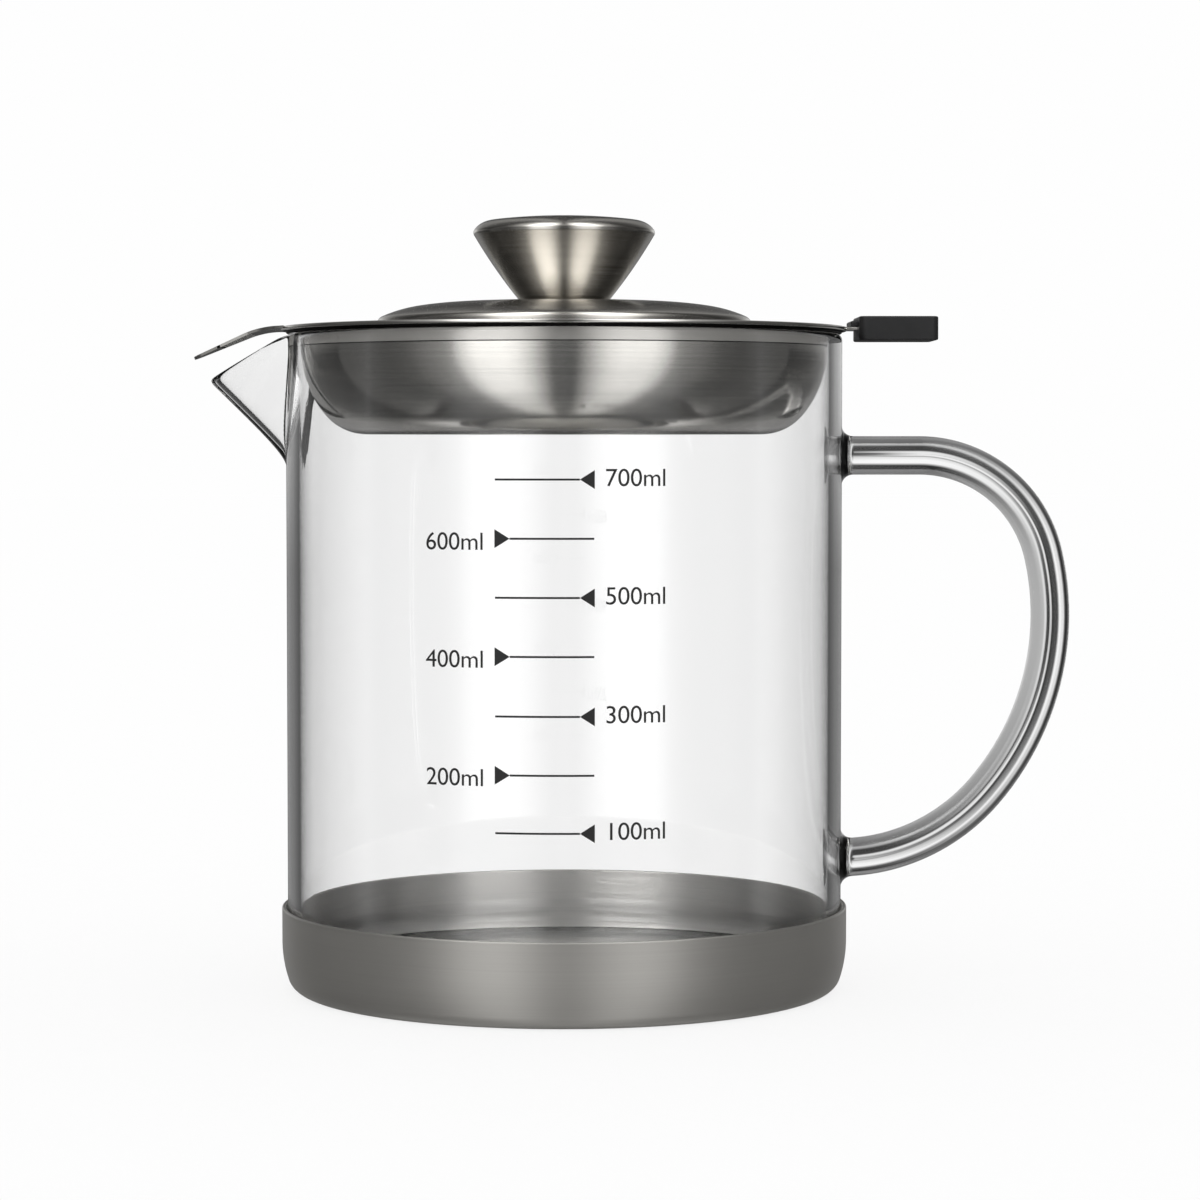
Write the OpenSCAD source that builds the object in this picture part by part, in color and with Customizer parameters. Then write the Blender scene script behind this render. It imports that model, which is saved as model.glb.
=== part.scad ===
// Oil strainer jug: a clear glass jug bonded into a steel base cup, a steel strainer
// that hangs from the glass rim, and a loose steel lid with a trumpet knob.
// The origin is on the jug's axis at the table, the handle points to +X and the spout to -X.

/* [Glass jug] */
// Outer diameter of the glass
glass_d = 108; // [100:1:120]
// Thickness of the glass wall
glass_wall = 2.5; // [2:0.1:3]
// Thickness of the glass floor
glass_floor = 2.6; // [2:0.1:4]
// Height of the glass from its heel to its rim
glass_h = 125; // [115:1:140]
// Outer rounding of the heel
heel_round = 5; // [4:0.5:7]
// Inner rounding between floor and wall
floor_round = 6; // [4:0.5:9]
// Outer rounding of the fire-polished rim
rim_round = 1.6; // [1:0.1:1.7]
// Inner rounding of the rim
rim_inner_round = 0.4; // [0.2:0.1:0.5]

/* [Spout] */
// How far the nose stands out from the glass
spout_reach = 14.5; // [11:0.5:17]
// How far the beak runs down from the rim
spout_depth = 26.3; // [23:0.1:30]
// Half the angle that the beak takes from the rim
spout_angle = 15.7; // [13:0.1:18]
// Rounding of the beak seen from above
spout_round = 3.4; // [3.2:0.1:4.5]
// Outward run of the keel for each millimetre of height
keel_slope = 1.05; // [1:0.01:1.15]
// Soft start of the keel where it leaves the wall
keel_blend = 3.3; // [2.5:0.1:4]
// Downward angle of the pouring lip
lip_angle = 28.5; // [25:0.5:31]
// Rounding between the level rim and the lip
lip_blend = 5; // [3:0.5:7]
// Rounding of the nose seen from the side
nose_round = 1.3; // [0.8:0.1:1.6]

/* [Handle] */
// Diameter of the glass rod
rod_d = 7.5; // [6.5:0.1:8.5]
// From the rim down to the upper end of the handle
handle_drop = 23.4; // [20:0.1:30]
// Between the two ends of the handle
handle_span = 78.7; // [76:0.1:82]
// From the glass out to the middle of the rod
handle_reach = 41; // [36:0.5:46]
// Bend at the top of the handle
top_bend = 25; // [23:0.5:28]
// Angle that the top bend turns through
top_turn = 77; // [74:1:80]
// Long bend at the back of the handle
back_bend = 53; // [50:0.5:58]
// Bend at the foot of the handle
foot_bend = 37; // [35:0.5:41]
// Most that the rod turns before its foot bend; past it a straight run fills the span
back_turn_most = 131; // [125:1:140]
// Rounding where the rod is fused to the wall
fuse_round = 2.4; // [1.5:0.1:3]

/* [Base cup] */
// Height of the cup
cup_h = 16.4; // [14:0.2:20]
// Thickness of the cup's steel
cup_sheet = 0.8; // [0.6:0.1:1.2]
// Gap between the cup's wall and the glass
cup_gap = 0.3; // [0.2:0.05:0.6]
// Long side curve of the cup
cup_side_round = 24; // [18:1:30]
// Tight corner at the foot of the cup
cup_corner_round = 3.5; // [3:0.1:4.5]
// Angle at which the side curve meets the corner
cup_turn = 18; // [14:1:22]
// Rounding of the cup's upper edge
cup_lip_round = 0.35; // [0.1:0.05:0.35]
// Depth of the recess pressed into the underside
foot_recess = 0.6; // [0.3:0.1:1]
// Width of the flat ring that the jug stands on
foot_ring = 10; // [8:0.5:12]

/* [Seat ring] */
// Thickness of the clear silicone ring under the glass
seat_t = 1.6; // [1:0.1:2.5]
// Width of that ring
seat_w = 7; // [5:0.5:8]

/* [Strainer] */
// Thickness of the strainer's steel
sheet = 0.5; // [0.4:0.05:0.7]
// Gap between the bowl and the glass
bowl_gap = 0.4; // [0.3:0.05:0.8]
// How far the bowl hangs below the rim
bowl_depth = 19.3; // [17.5:0.1:24]
// Soft corner at the bottom of the bowl
bowl_corner = 10.5; // [8:0.5:12]
// Side curve of the bowl
bowl_side = 20; // [17:0.5:22]
// Angle at which the two curves meet
bowl_turn = 50; // [45:1:55]
// Bend over the glass rim, inside the sheet
rim_bend = 0.5; // [0.4:0.1:0.8]
// How far the flange reaches past the glass
brim_over = 1; // [0.6:0.1:2]
// Width of the folded edge of the flange
hem_w = 1.5; // [1.2:0.1:1.8]
// Height of the folded edge
hem_h = 0.8; // [0.7:0.05:1]
// Height of the folded edge above the glass rim
hem_lift = 0.6; // [0.55:0.05:0.9]
// Opening in the bottom of the bowl
mesh_open_d = 66; // [56:1:70]

/* [Tongue over the spout] */
// How far the tongue's tip stands out from the flange
tongue_reach = 17; // [14:0.5:20]
// Downward angle of the tongue
tongue_angle = 23.3; // [18:0.1:28]
// Bend where the tongue turns down
tongue_bend = 17.5; // [12:0.5:22]
// Width of the tongue at the flange
tongue_root_w = 22; // [18:0.5:26]
// Rounding of the tip
tongue_tip_round = 3; // [2:0.1:4]
// Rounding between the tongue and the flange
tongue_fillet = 4; // [2:0.5:6]

/* [Strainer grip] */
// Length of the black grip
grip_l = 15.3; // [13:0.1:18]
// Width of the grip
grip_w = 16.6; // [14:0.1:20]
// Thickness of the grip
grip_t = 4.6; // [4:0.1:6]
// Rounding of the grip's corners seen from above
grip_corner = 2.2; // [1:0.1:4]
// Rounding of the grip's edges
grip_edge = 0.7; // [0.3:0.1:1]
// Gap between the flange and the grip
grip_gap = 1.85; // [1.8:0.05:3]
// Length of the shoulder that covers the tab's root
shoulder_l = 1.45; // [1:0.05:1.5]
// Height of that shoulder above the tab
shoulder_h = 1.6; // [1:0.1:1.8]
// Width of the steel tab
tab_w = 11; // [8:0.5:12]
// How deep the tab reaches into the grip
tab_in = 12; // [8:0.5:12]

/* [Mesh] */
// Spacing of the wires
mesh_pitch = 3.5; // [3.4:0.1:5]
// Thickness of the wires
mesh_wire = 0.5; // [0.4:0.05:0.7]
// Width of the rim by which the mesh is held
mesh_margin = 2; // [1.5:0.1:2.5]
// Thickness of the ring that clamps the mesh
clamp_t = 0.6; // [0.4:0.1:1]
// Width of the clamping ring
clamp_w = 3; // [2.5:0.1:4]

/* [Lid] */
// Thickness of the lid's steel
lid_sheet = 0.6; // [0.5:0.05:0.8]
// Gap between the lid and the folded edge of the flange
lid_gap = 0.3; // [0.2:0.05:0.6]
// Radius of the raised middle at its foot
dome_r = 36.4; // [32:0.2:40]
// Height of the raised middle above the lid's flat brim
dome_h = 5.3; // [5.1:0.1:7]
// Flat in the middle of the dome, around the knob
dome_flat = 1; // [0.5:0.5:3]
// Slope of the dome's steep side
dome_side = 82; // [78:1:86]
// Rounding between the dome and the brim
dome_fillet = 1; // [0.8:0.1:1.5]

/* [Knob] */
// Height of the knob above the lid
knob_h = 16.6; // [14:0.2:20]
// Diameter of the knob at its foot
knob_foot_d = 17; // [14:0.5:19]
// Widest diameter of the knob
knob_d = 35.3; // [30:0.1:40]
// Height of the knob's crown above its widest part
crown_h = 3.2; // [2.6:0.1:5]
// Rounding of the knob's edge
knob_edge = 0.95; // [0.7:0.05:1.3]
// Outward bulge of the knob's side
knob_bulge = 0.3; // [0:0.1:0.8]

/* [Knob screw] */
// Diameter of the screw
screw_d = 4; // [3:0.5:5]
// Play around the screw
screw_play = 0.1; // [0.05:0.05:0.3]
// Diameter of the screw's head
head_d = 7.6; // [6.5:0.1:8.5]
// Height of the head
head_h = 2.2; // [1.8:0.1:2.6]
// Width of the cross in the head
cross_w = 1; // [0.6:0.1:1.2]
// Length of the cross
cross_l = 4.6; // [3:0.1:5]
// Depth of the cross
cross_deep = 1.3; // [0.6:0.1:1.5]
// How deep the screw goes into the knob
screw_in = 7; // [5:0.5:9]
// Room in the knob beyond the screw's end
screw_room = 1; // [0.5:0.5:2]
// Diameter of the washer under the head
washer_d = 10; // [9:0.5:12]
// Thickness of the washer
washer_t = 0.8; // [0.5:0.1:1.2]

/* [Hidden] */
$fn = 96;

// Steps in each drawn arc, and a small overlap for cuts and joined solids
arc_steps = 8;
eps = 0.01;
far = glass_d;

// Radii shared by glass, cup and strainer
glass_r = glass_d / 2;
inner_r = glass_r - glass_wall;
cup_r = glass_r + cup_gap + cup_sheet;
bowl_r = inner_r - bowl_gap;
brim_r = glass_r + brim_over;
lid_r = brim_r - hem_w - lid_gap;
mesh_open_r = mesh_open_d / 2;

// Heights from the table up
glass_z = cup_sheet + seat_t;
rim_z = glass_z + glass_h;
bowl_z = rim_z - bowl_depth;
hem_z = rim_z + hem_lift;
flange_top = hem_z + hem_h;
brim_z = rim_z + sheet;
dome_z = brim_z + lid_sheet + dome_h;
knob_top = dome_z + knob_h;
mesh_z = bowl_z + sheet;

// Centres of the two curves in the cup's side
cup_curve_z = cup_corner_round + (cup_side_round - cup_corner_round) * sin(cup_turn);
cup_corner_r = cup_r - cup_side_round + (cup_side_round - cup_corner_round) * cos(cup_turn);
recess_r = cup_corner_r - foot_ring;
seat_r = recess_r + cup_sheet + foot_recess;

// Centres of the two curves in the bowl's side
bowl_curve_z = bowl_z + bowl_corner + (bowl_side - bowl_corner) * cos(bowl_turn);
bowl_corner_r = bowl_r - bowl_side + (bowl_side - bowl_corner) * sin(bowl_turn);

// Points of an arc about a centre, from one angle to another
function arc(c, r, from, to, steps = arc_steps) =
    [for (i = [0 : steps]) let (a = from + (to - from) * i / steps) c + r * [cos(a), sin(a)]];

// Points of a shallow arc from p to q that bulges to the left of that line
function bow(p, q, bulge, steps = arc_steps) =
    let (along = q - p, side = [-along.y, along.x] / norm(along))
    [for (i = [0 : steps]) let (t = i / steps) p + along * t + side * bulge * 4 * t * (1 - t)];

// Outer line of the cup, from the middle of its floor to its upper edge, moved in by inset
function cup_line(inset) = concat(
    [[0, foot_recess + inset], [recess_r - foot_recess, foot_recess + inset]],
    [[recess_r, inset]],
    arc([cup_corner_r, cup_corner_round], cup_corner_round - inset, -90, -cup_turn),
    arc([cup_r - cup_side_round, cup_curve_z], cup_side_round - inset, -cup_turn, 0)
);

// Steel base cup with a curved side and a pressed recess underneath
module base_cup() {
    lip_in = [cup_r - cup_sheet + cup_lip_round, cup_h - cup_lip_round];
    lip_out = [cup_r - cup_lip_round, cup_h - cup_lip_round];
    inside = cup_line(cup_sheet);
    color("dimgray")
        rotate_extrude()
            polygon(concat(
                cup_line(0),
                arc(lip_out, cup_lip_round, 0, 90),
                arc(lip_in, cup_lip_round, 90, 180),
                [for (i = [len(inside) - 1 : -1 : 0]) inside[i]]
            ));
}

// Clear silicone ring between the cup's floor and the glass
module seat_ring() {
    color("gainsboro")
        rotate_extrude()
            translate([seat_r, cup_sheet])
                square([seat_w, seat_t]);
}

// Keel of the beak: how far it stands out at a height above its foot
function keel(h) = keel_slope * (sqrt(h * h + keel_blend * keel_blend) - keel_blend);

// Level outline of the beak at a height above its foot, moved in by inset
function beak_ring(h, inset) =
    let (
        angle = spout_angle * sin(min(90, 90 * h / spout_depth)),
        crease = glass_r * [cos(angle), sin(angle)],
        tip = [glass_r + keel(h) - spout_round, 0],
        back = tip - [crease.x, -crease.y],
        run = sqrt(back.x * back.x + crease.y * crease.y),
        turn = atan2(crease.y, back.x) - asin(min(1, spout_round / run)),
        inward = [-cos(turn), sin(turn)],
        outward = [sin(turn), cos(turn)],
        root = crease + inward * 2 * glass_wall - outward * inset,
        round = arc(tip, spout_round - inset, 90 - turn, turn - 90)
    )
    concat([root], round, [[root.x, -root.y], [glass_r - 4 * glass_wall, 0]]);

// Solid beak as a stack of level outlines, from its foot to above the rim
module beak(inset) {
    levels = 14;
    top = spout_depth + glass_wall;
    rings = [for (i = [0 : levels]) beak_ring(max(eps, top * i / levels), inset)];
    count = len(rings[0]);
    points = [
        for (i = [0 : levels])
            for (p = rings[i])
                [-p.x, p.y, rim_z - spout_depth + top * i / levels]
    ];
    sides = [
        for (i = [0 : levels - 1])
            for (j = [0 : count - 1])
                let (a = i * count + j, b = i * count + (j + 1) % count)
                each [[b, a, b + count], [b + count, a, a + count]]
    ];
    bottom = [[for (j = [0 : count - 1]) j]];
    cap = [[for (j = [count - 1 : -1 : 0]) levels * count + j]];
    polyhedron(points, concat(bottom, sides, cap));
}

// Everything above the rim and the pouring lip and beyond the nose, seen from the side
module lip_cut() {
    start = inner_r;
    bend_end = start + lip_blend * sin(lip_angle);
    bend_drop = lip_blend * (1 - cos(lip_angle));
    nose_x = glass_r + spout_reach;
    corner_z = rim_z - bend_drop - (nose_x - bend_end) * tan(lip_angle);
    back = nose_round * tan((90 - lip_angle) / 2);
    nose = [nose_x - nose_round, corner_z - back];
    rotate([90, 0, 0])
        linear_extrude(height = glass_r, center = true)
            mirror([1, 0])
                polygon(concat(
                    [[0, rim_z + far], [0, rim_z]],
                    arc([start, rim_z - lip_blend], lip_blend, 90, 90 - lip_angle),
                    arc(nose, nose_round, 90 - lip_angle, 0),
                    [[nose_x, 0], [nose_x + far, 0], [nose_x + far, rim_z + far]]
                ));
}

// Glass jug: wall, floor, fire-polished rim and drawn-out beak
module glass_body() {
    heel = [glass_r - heel_round, glass_z + heel_round];
    rim_out = [glass_r - rim_round, rim_z - rim_round];
    rim_in = [inner_r + rim_inner_round, rim_z - rim_inner_round];
    corner = [inner_r - floor_round, glass_z + glass_floor + floor_round];
    color("lightblue")
        difference() {
            union() {
                rotate_extrude()
                    polygon(concat(
                        [[0, glass_z]],
                        arc(heel, heel_round, -90, 0),
                        arc(rim_out, rim_round, 0, 90),
                        [[0, rim_z]]
                    ));
                beak(0);
            }
            rotate_extrude()
                polygon(concat(
                    [[0, rim_z + glass_wall], [rim_in.x, rim_z + glass_wall]],
                    arc(rim_in, rim_inner_round, 90, 180),
                    arc(corner, floor_round, 0, -90),
                    [[0, glass_z + glass_floor]]
                ));
            beak(glass_wall);
            lip_cut();
        }
}

// The handle's three bends: where the last one begins, the start of the first, the centres
rod_r = rod_d / 2;
flare_r = rod_r + fuse_round;
reach_x = glass_r + handle_reach;
upper_z = rim_z - handle_drop;
lower_z = upper_z - handle_span;
top_rise = top_bend * (1 - cos(top_turn)) + back_bend * cos(top_turn);
foot_cos = (top_rise + foot_bend - handle_span) / (back_bend - foot_bend);
foot_turn = acos(max(foot_cos, cos(back_turn_most)));
back_run = (cos(foot_turn) - foot_cos) * (back_bend - foot_bend);
top_x = reach_x - top_bend * sin(top_turn) - back_bend * (1 - sin(top_turn));
top_centre = [top_x, upper_z - top_bend];
back_centre = top_centre + (back_bend - top_bend) * [-sin(top_turn), -cos(top_turn)];
back_low = back_centre - [0, back_run];
foot_centre = back_low + (back_bend - foot_bend) * [sin(foot_turn), cos(foot_turn)];

// Radius of the rod where it comes as near as x to the jug's axis: it flares at the wall
function rod_at(x) =
    let (near = fuse_round - min(fuse_round, max(0, x - glass_r)))
    rod_r + fuse_round - sqrt(fuse_round * fuse_round - near * near);

// Stations along the rod, each a point in the XZ plane, a downward heading and a radius
function station(p, heading) = [p, heading, rod_at(p.x)];
function bend(centre, r, from, to, steps) = [
    for (i = [1 : steps])
        let (a = from + (to - from) * i / steps)
        station(centre + r * [sin(a), cos(a)], a)
];
wall_x = [inner_r + glass_wall / 2, for (a = [0 : 15 : 90]) glass_r + fuse_round * (1 - cos(a))];
function foot_angle(x) = 180 - asin(max(0, x - foot_centre.x) / foot_bend);
upper_end = [for (x = wall_x) station([x, upper_z], 0)];
lower_end = [
    for (i = [len(wall_x) - 2 : -1 : 0])
        let (x = wall_x[i], a = foot_angle(x))
        station([x, foot_centre.y + foot_bend * cos(a)], a)
];

// Closed tube through a list of stations
module tube(stations, count) {
    last = len(stations) - 1;
    points = [
        for (s = stations)
            for (i = [0 : count - 1])
                let (a = 360 * i / count, up = s[2] * cos(a))
                [s[0].x + up * sin(s[1]), s[2] * sin(a), s[0].y + up * cos(s[1])]
    ];
    sides = [
        for (k = [0 : last - 1])
            for (i = [0 : count - 1])
                let (a = k * count + i, b = k * count + (i + 1) % count)
                each [[a, b, b + count], [a, b + count, a + count]]
    ];
    start = [[for (i = [count - 1 : -1 : 0]) i]];
    end = [[for (i = [0 : count - 1]) last * count + i]];
    polyhedron(points, concat(start, sides, end));
}

// Round glass rod bent into the handle, flared at both ends where it is fused to the wall
module glass_handle() {
    start = station(top_centre + [0, top_bend], 0);
    foot_end = foot_angle(glass_r + fuse_round);
    color("lightblue")
        difference() {
            tube(concat(
                upper_end,
                [start],
                bend(top_centre, top_bend, 0, top_turn, 8),
                bend(back_centre, back_bend, top_turn, 90, 2),
                [if (back_run > eps) station(back_low + [back_bend, 0], 90)],
                bend(back_low, back_bend, 90, foot_turn, 6),
                bend(foot_centre, foot_bend, foot_turn, foot_end, 6),
                lower_end
            ), 24);
            cylinder(r = glass_r, h = rim_z);
        }
}

// Outer line of the bowl from its opening up to the bend over the rim, moved in by inset
function bowl_line(inset) = concat(
    [[mesh_open_r, bowl_z + inset]],
    arc([bowl_corner_r, bowl_z + bowl_corner], bowl_corner - inset, -90, bowl_turn - 90),
    arc([bowl_r - bowl_side, bowl_curve_z], bowl_side - inset, bowl_turn - 90, 0),
    arc([bowl_r + rim_bend, rim_z - rim_bend], rim_bend + inset, 180, 90)
);

// Plan of the tongue: two straight sides, a round tip and fillets at the flange
module tongue_plan() {
    tip_x = brim_r + tongue_reach - tongue_tip_round;
    root = [brim_r - hem_w, tongue_root_w / 2];
    run = [tip_x - root.x, root.y];
    taper = atan2(run.y, run.x) - asin(tongue_tip_round / norm(run));
    side = tongue_tip_round * [sin(taper), cos(taper)];
    foot_y = root.y + tongue_fillet;
    foot = [sqrt(brim_r * brim_r - foot_y * foot_y), foot_y];
    mirror([1, 0]) {
        translate([tip_x, 0])
            circle(r = tongue_tip_round);
        polygon([root, [tip_x, 0] + side, [tip_x + side.x, -side.y], [root.x, -root.y]]);
        for (s = [-1, 1])
            scale([1, s])
                polygon(concat([[root.x, 0]], bow(
                    [root.x + tongue_fillet, root.y - tongue_fillet * tan(taper)],
                    foot - [eps, 0], -tongue_fillet / 5
                )));
    }
}

// Side view of the tongue: level at the flange, a bend and a straight slope
module tongue_side() {
    z = flange_top;
    bend_end = brim_r + tongue_bend * sin(tongue_angle);
    drop = tongue_bend * (1 - cos(tongue_angle));
    run = tongue_reach - tongue_bend * sin(tongue_angle) + hem_w;
    slope = run * [cos(tongue_angle), -sin(tongue_angle)];
    across = sheet * [sin(tongue_angle), cos(tongue_angle)];
    end = [bend_end, z - drop] + slope;
    bend = [brim_r, z - tongue_bend];
    mirror([1, 0])
        polygon(concat(
            [[brim_r - hem_w / 2, z]],
            arc(bend, tongue_bend, 90, 90 - tongue_angle),
            [end, end - across],
            arc(bend, tongue_bend - sheet, 90 - tongue_angle, 90),
            [[brim_r - hem_w / 2, z - sheet]]
        ));
}

// Plan of the tab inside the grip, with a round end, widened on each side
module tab_plan(widen = 0) {
    end_x = brim_r + grip_gap + tab_in;
    translate([brim_r - hem_w / 2, -tab_w / 2 - widen])
        square([end_x - brim_r + hem_w / 2 - tab_w / 4, tab_w + 2 * widen]);
    for (s = [-1, 1])
        translate([end_x - tab_w / 4, s * tab_w / 4])
            circle(r = tab_w / 4 + widen);
    translate([end_x - tab_w / 4 - eps, -tab_w / 4])
        square([tab_w / 4 + widen, tab_w / 2]);
}

// Stamped strainer: bowl, rim bend, folded flange, tongue and grip tab in one sheet
module strainer_bowl() {
    hem_in = brim_r - hem_w;
    edge = hem_h / 2;
    inside = bowl_line(sheet);
    color("silver") {
        rotate_extrude()
            polygon(concat(
                bowl_line(0),
                [[hem_in + sheet, rim_z], [hem_in + sheet, hem_z], [brim_r - edge, hem_z]],
                arc([brim_r - edge, hem_z + edge], edge, -90, 90),
                [[hem_in, flange_top], [hem_in, brim_z]],
                [for (i = [len(inside) - 1 : -1 : 0]) inside[i]]
            ));
        intersection() {
            rotate([90, 0, 0])
                linear_extrude(height = 2 * tongue_root_w, center = true)
                    tongue_side();
            translate([0, 0, bowl_z])
                linear_extrude(height = bowl_depth * 2)
                    tongue_plan();
        }
        translate([0, 0, flange_top - sheet])
            linear_extrude(height = sheet)
                tab_plan();
    }
}

// Flat wire net in the bottom of the bowl
module strainer_mesh() {
    hole = mesh_pitch - mesh_wire;
    count = floor(mesh_open_r / mesh_pitch);
    color("darkgray")
        translate([0, 0, mesh_z])
            linear_extrude(height = mesh_wire)
                difference() {
                    circle(r = mesh_open_r + mesh_margin);
                    intersection() {
                        circle(r = mesh_open_r);
                        for (i = [-count : count])
                            for (j = [-count : count])
                                if (norm([i, j]) * mesh_pitch < mesh_open_r)
                                    translate([i, j] * mesh_pitch)
                                        square(hole, center = true);
                    }
                }
}

// Ring that clamps the net onto the bottom of the bowl
module mesh_ring() {
    color("silver")
        translate([0, 0, mesh_z + mesh_wire])
            linear_extrude(height = clamp_t)
                difference() {
                    circle(r = mesh_open_r + clamp_w);
                    circle(r = mesh_open_r);
                }
}

// Rectangle with round corners, from the origin
module round_box(size, r) {
    translate([r, 0])
        square([size.x - 2 * r, size.y]);
    translate([0, r])
        square([size.x, size.y - 2 * r]);
    for (x = [r, size.x - r])
        for (y = [r, size.y - r])
            translate([x, y])
                circle(r = r);
}

// Black silicone grip moulded onto the steel tab
module strainer_grip() {
    x = brim_r + grip_gap;
    z = flange_top - sheet / 2 - grip_t / 2;
    color([0.12, 0.12, 0.12])
        difference() {
            union() {
                intersection() {
                    translate([x, -grip_w / 2, z])
                        linear_extrude(height = grip_t)
                            round_box([grip_l, grip_w], grip_corner);
                    translate([x, grip_w / 2, z])
                        rotate([90, 0, 0])
                            linear_extrude(height = grip_w)
                                round_box([grip_l, grip_t], grip_edge);
                }
                translate([x, tab_w / 2, flange_top])
                    rotate([90, 0, 0])
                        linear_extrude(height = tab_w)
                            polygon([
                                [-shoulder_l, 0], [grip_l / 2, 0],
                                [grip_l / 2, shoulder_h], [0, shoulder_h],
                                [-shoulder_l, shoulder_h * 2 / 3]
                            ]);
            }
            translate([0, 0, flange_top - sheet])
                linear_extrude(height = sheet)
                    tab_plan();
        }
}

// Curves across the lid, from the middle out: radius and the slope where each ends
dome_curves = [[330, 2], [60, 9], [26, 24], [1.6, dome_side]];

// Run and drop of those curves, and the scale and steep side that fit them into the dome
function curve_sum(i, slope) =
    i == len(dome_curves) ? [0, 0] :
    let (r = dome_curves[i][0], next = dome_curves[i][1])
    r * [sin(next) - sin(slope), cos(slope) - cos(next)] + curve_sum(i + 1, next);
dome_from = knob_foot_d / 2 + dome_flat;
dome_sum = curve_sum(0, 0);
dome_run = dome_r - dome_from;
dome_drop = dome_h - dome_fillet * (1 - cos(dome_side));
dome_scale = (dome_run * sin(dome_side) - dome_drop * cos(dome_side))
    / (dome_sum.x * sin(dome_side) - dome_sum.y * cos(dome_side));

// Lid's upper line from the flat middle to the foot of the dome, moved down by inset
function lid_line(inset) = concat(
    [[screw_d / 2 + screw_play, dome_z - inset]],
    lid_curve(0, [dome_from, dome_z], 0, inset),
    lid_foot(inset)
);

// One curve of the dome after the other, each tangent to the one before
function lid_curve(i, p, slope, inset) =
    i == len(dome_curves) ? [] :
    let (
        r = dome_curves[i][0] * dome_scale,
        next = dome_curves[i][1],
        c = p - r * [sin(slope), cos(slope)],
        q = c + r * [sin(next), cos(next)]
    )
    concat(arc(c, r - inset, 90 - slope, 90 - next, 5), lid_curve(i + 1, q, next, inset));

// Foot of the dome and the flat brim out to the lid's edge
function lid_foot(inset) =
    let (foot = [dome_r, brim_z + lid_sheet] + dome_fillet * [sin(dome_side), 1])
    concat(
        arc(foot, dome_fillet + inset, 270 - dome_side, 270, 5),
        [[lid_r, brim_z + lid_sheet - inset]]
    );

// Spun steel lid with a raised middle and a flat brim
module lid_plate() {
    under = lid_line(lid_sheet);
    color("gray")
        rotate_extrude()
            polygon(concat(lid_line(0), [for (i = [len(under) - 1 : -1 : 0]) under[i]]));
}

// Trumpet-shaped steel knob with a crowned top and a blind hole for the screw
module lid_knob() {
    foot = [knob_foot_d / 2, dome_z];
    edge = [knob_d / 2 - knob_edge, knob_top - crown_h];
    side = edge - foot;
    side_turn = atan2(side.x, side.y) + atan(4 * knob_bulge / norm(side));
    crown_turn = 76;
    crown_edge = edge + knob_edge * [cos(crown_turn), sin(crown_turn)];
    crown_r = (crown_edge.x * crown_edge.x + pow(knob_top - crown_edge.y, 2)) / 2
        / (knob_top - crown_edge.y);
    crown_from = acos(crown_edge.x / crown_r);
    color("gray")
        difference() {
            rotate_extrude()
                polygon(concat(
                    [[0, dome_z]],
                    bow(foot, edge + knob_edge * [cos(side_turn), -sin(side_turn)], -knob_bulge),
                    arc(edge, knob_edge, -side_turn, crown_turn),
                    arc([0, knob_top - crown_r], crown_r, crown_from, 90)
                ));
            translate([0, 0, dome_z - eps])
                cylinder(r = screw_d / 2 + screw_play, h = screw_in + screw_room + eps, $fn = 32);
        }
}

// Pan-head screw that holds the knob from under the lid
module knob_screw() {
    seat = dome_z - lid_sheet - washer_t;
    color("lightgray")
        difference() {
            union() {
                translate([0, 0, seat])
                    cylinder(r = screw_d / 2, h = dome_z + screw_in - seat, $fn = 32);
                translate([0, 0, seat - head_h])
                    cylinder(r1 = head_d / 2 - head_h / 3, r2 = head_d / 2, h = head_h, $fn = 32);
            }
            for (turn = [0, 90])
                rotate([0, 0, turn])
                    translate([-cross_l / 2, -cross_w / 2, seat - head_h - eps])
                        cube([cross_l, cross_w, cross_deep + eps]);
        }
}

// Flat washer between the screw's head and the lid
module knob_washer() {
    color("lightgray")
        translate([0, 0, dome_z - lid_sheet - washer_t])
            linear_extrude(height = washer_t)
                difference() {
                    circle(r = washer_d / 2);
                    circle(r = screw_d / 2 + screw_play);
                }
}

base_cup();
seat_ring();
glass_body();
glass_handle();
strainer_bowl();
strainer_mesh();
mesh_ring();
strainer_grip();
lid_plate();
lid_knob();
knob_screw();
knob_washer();
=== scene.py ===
import math
from collections import namedtuple

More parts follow.
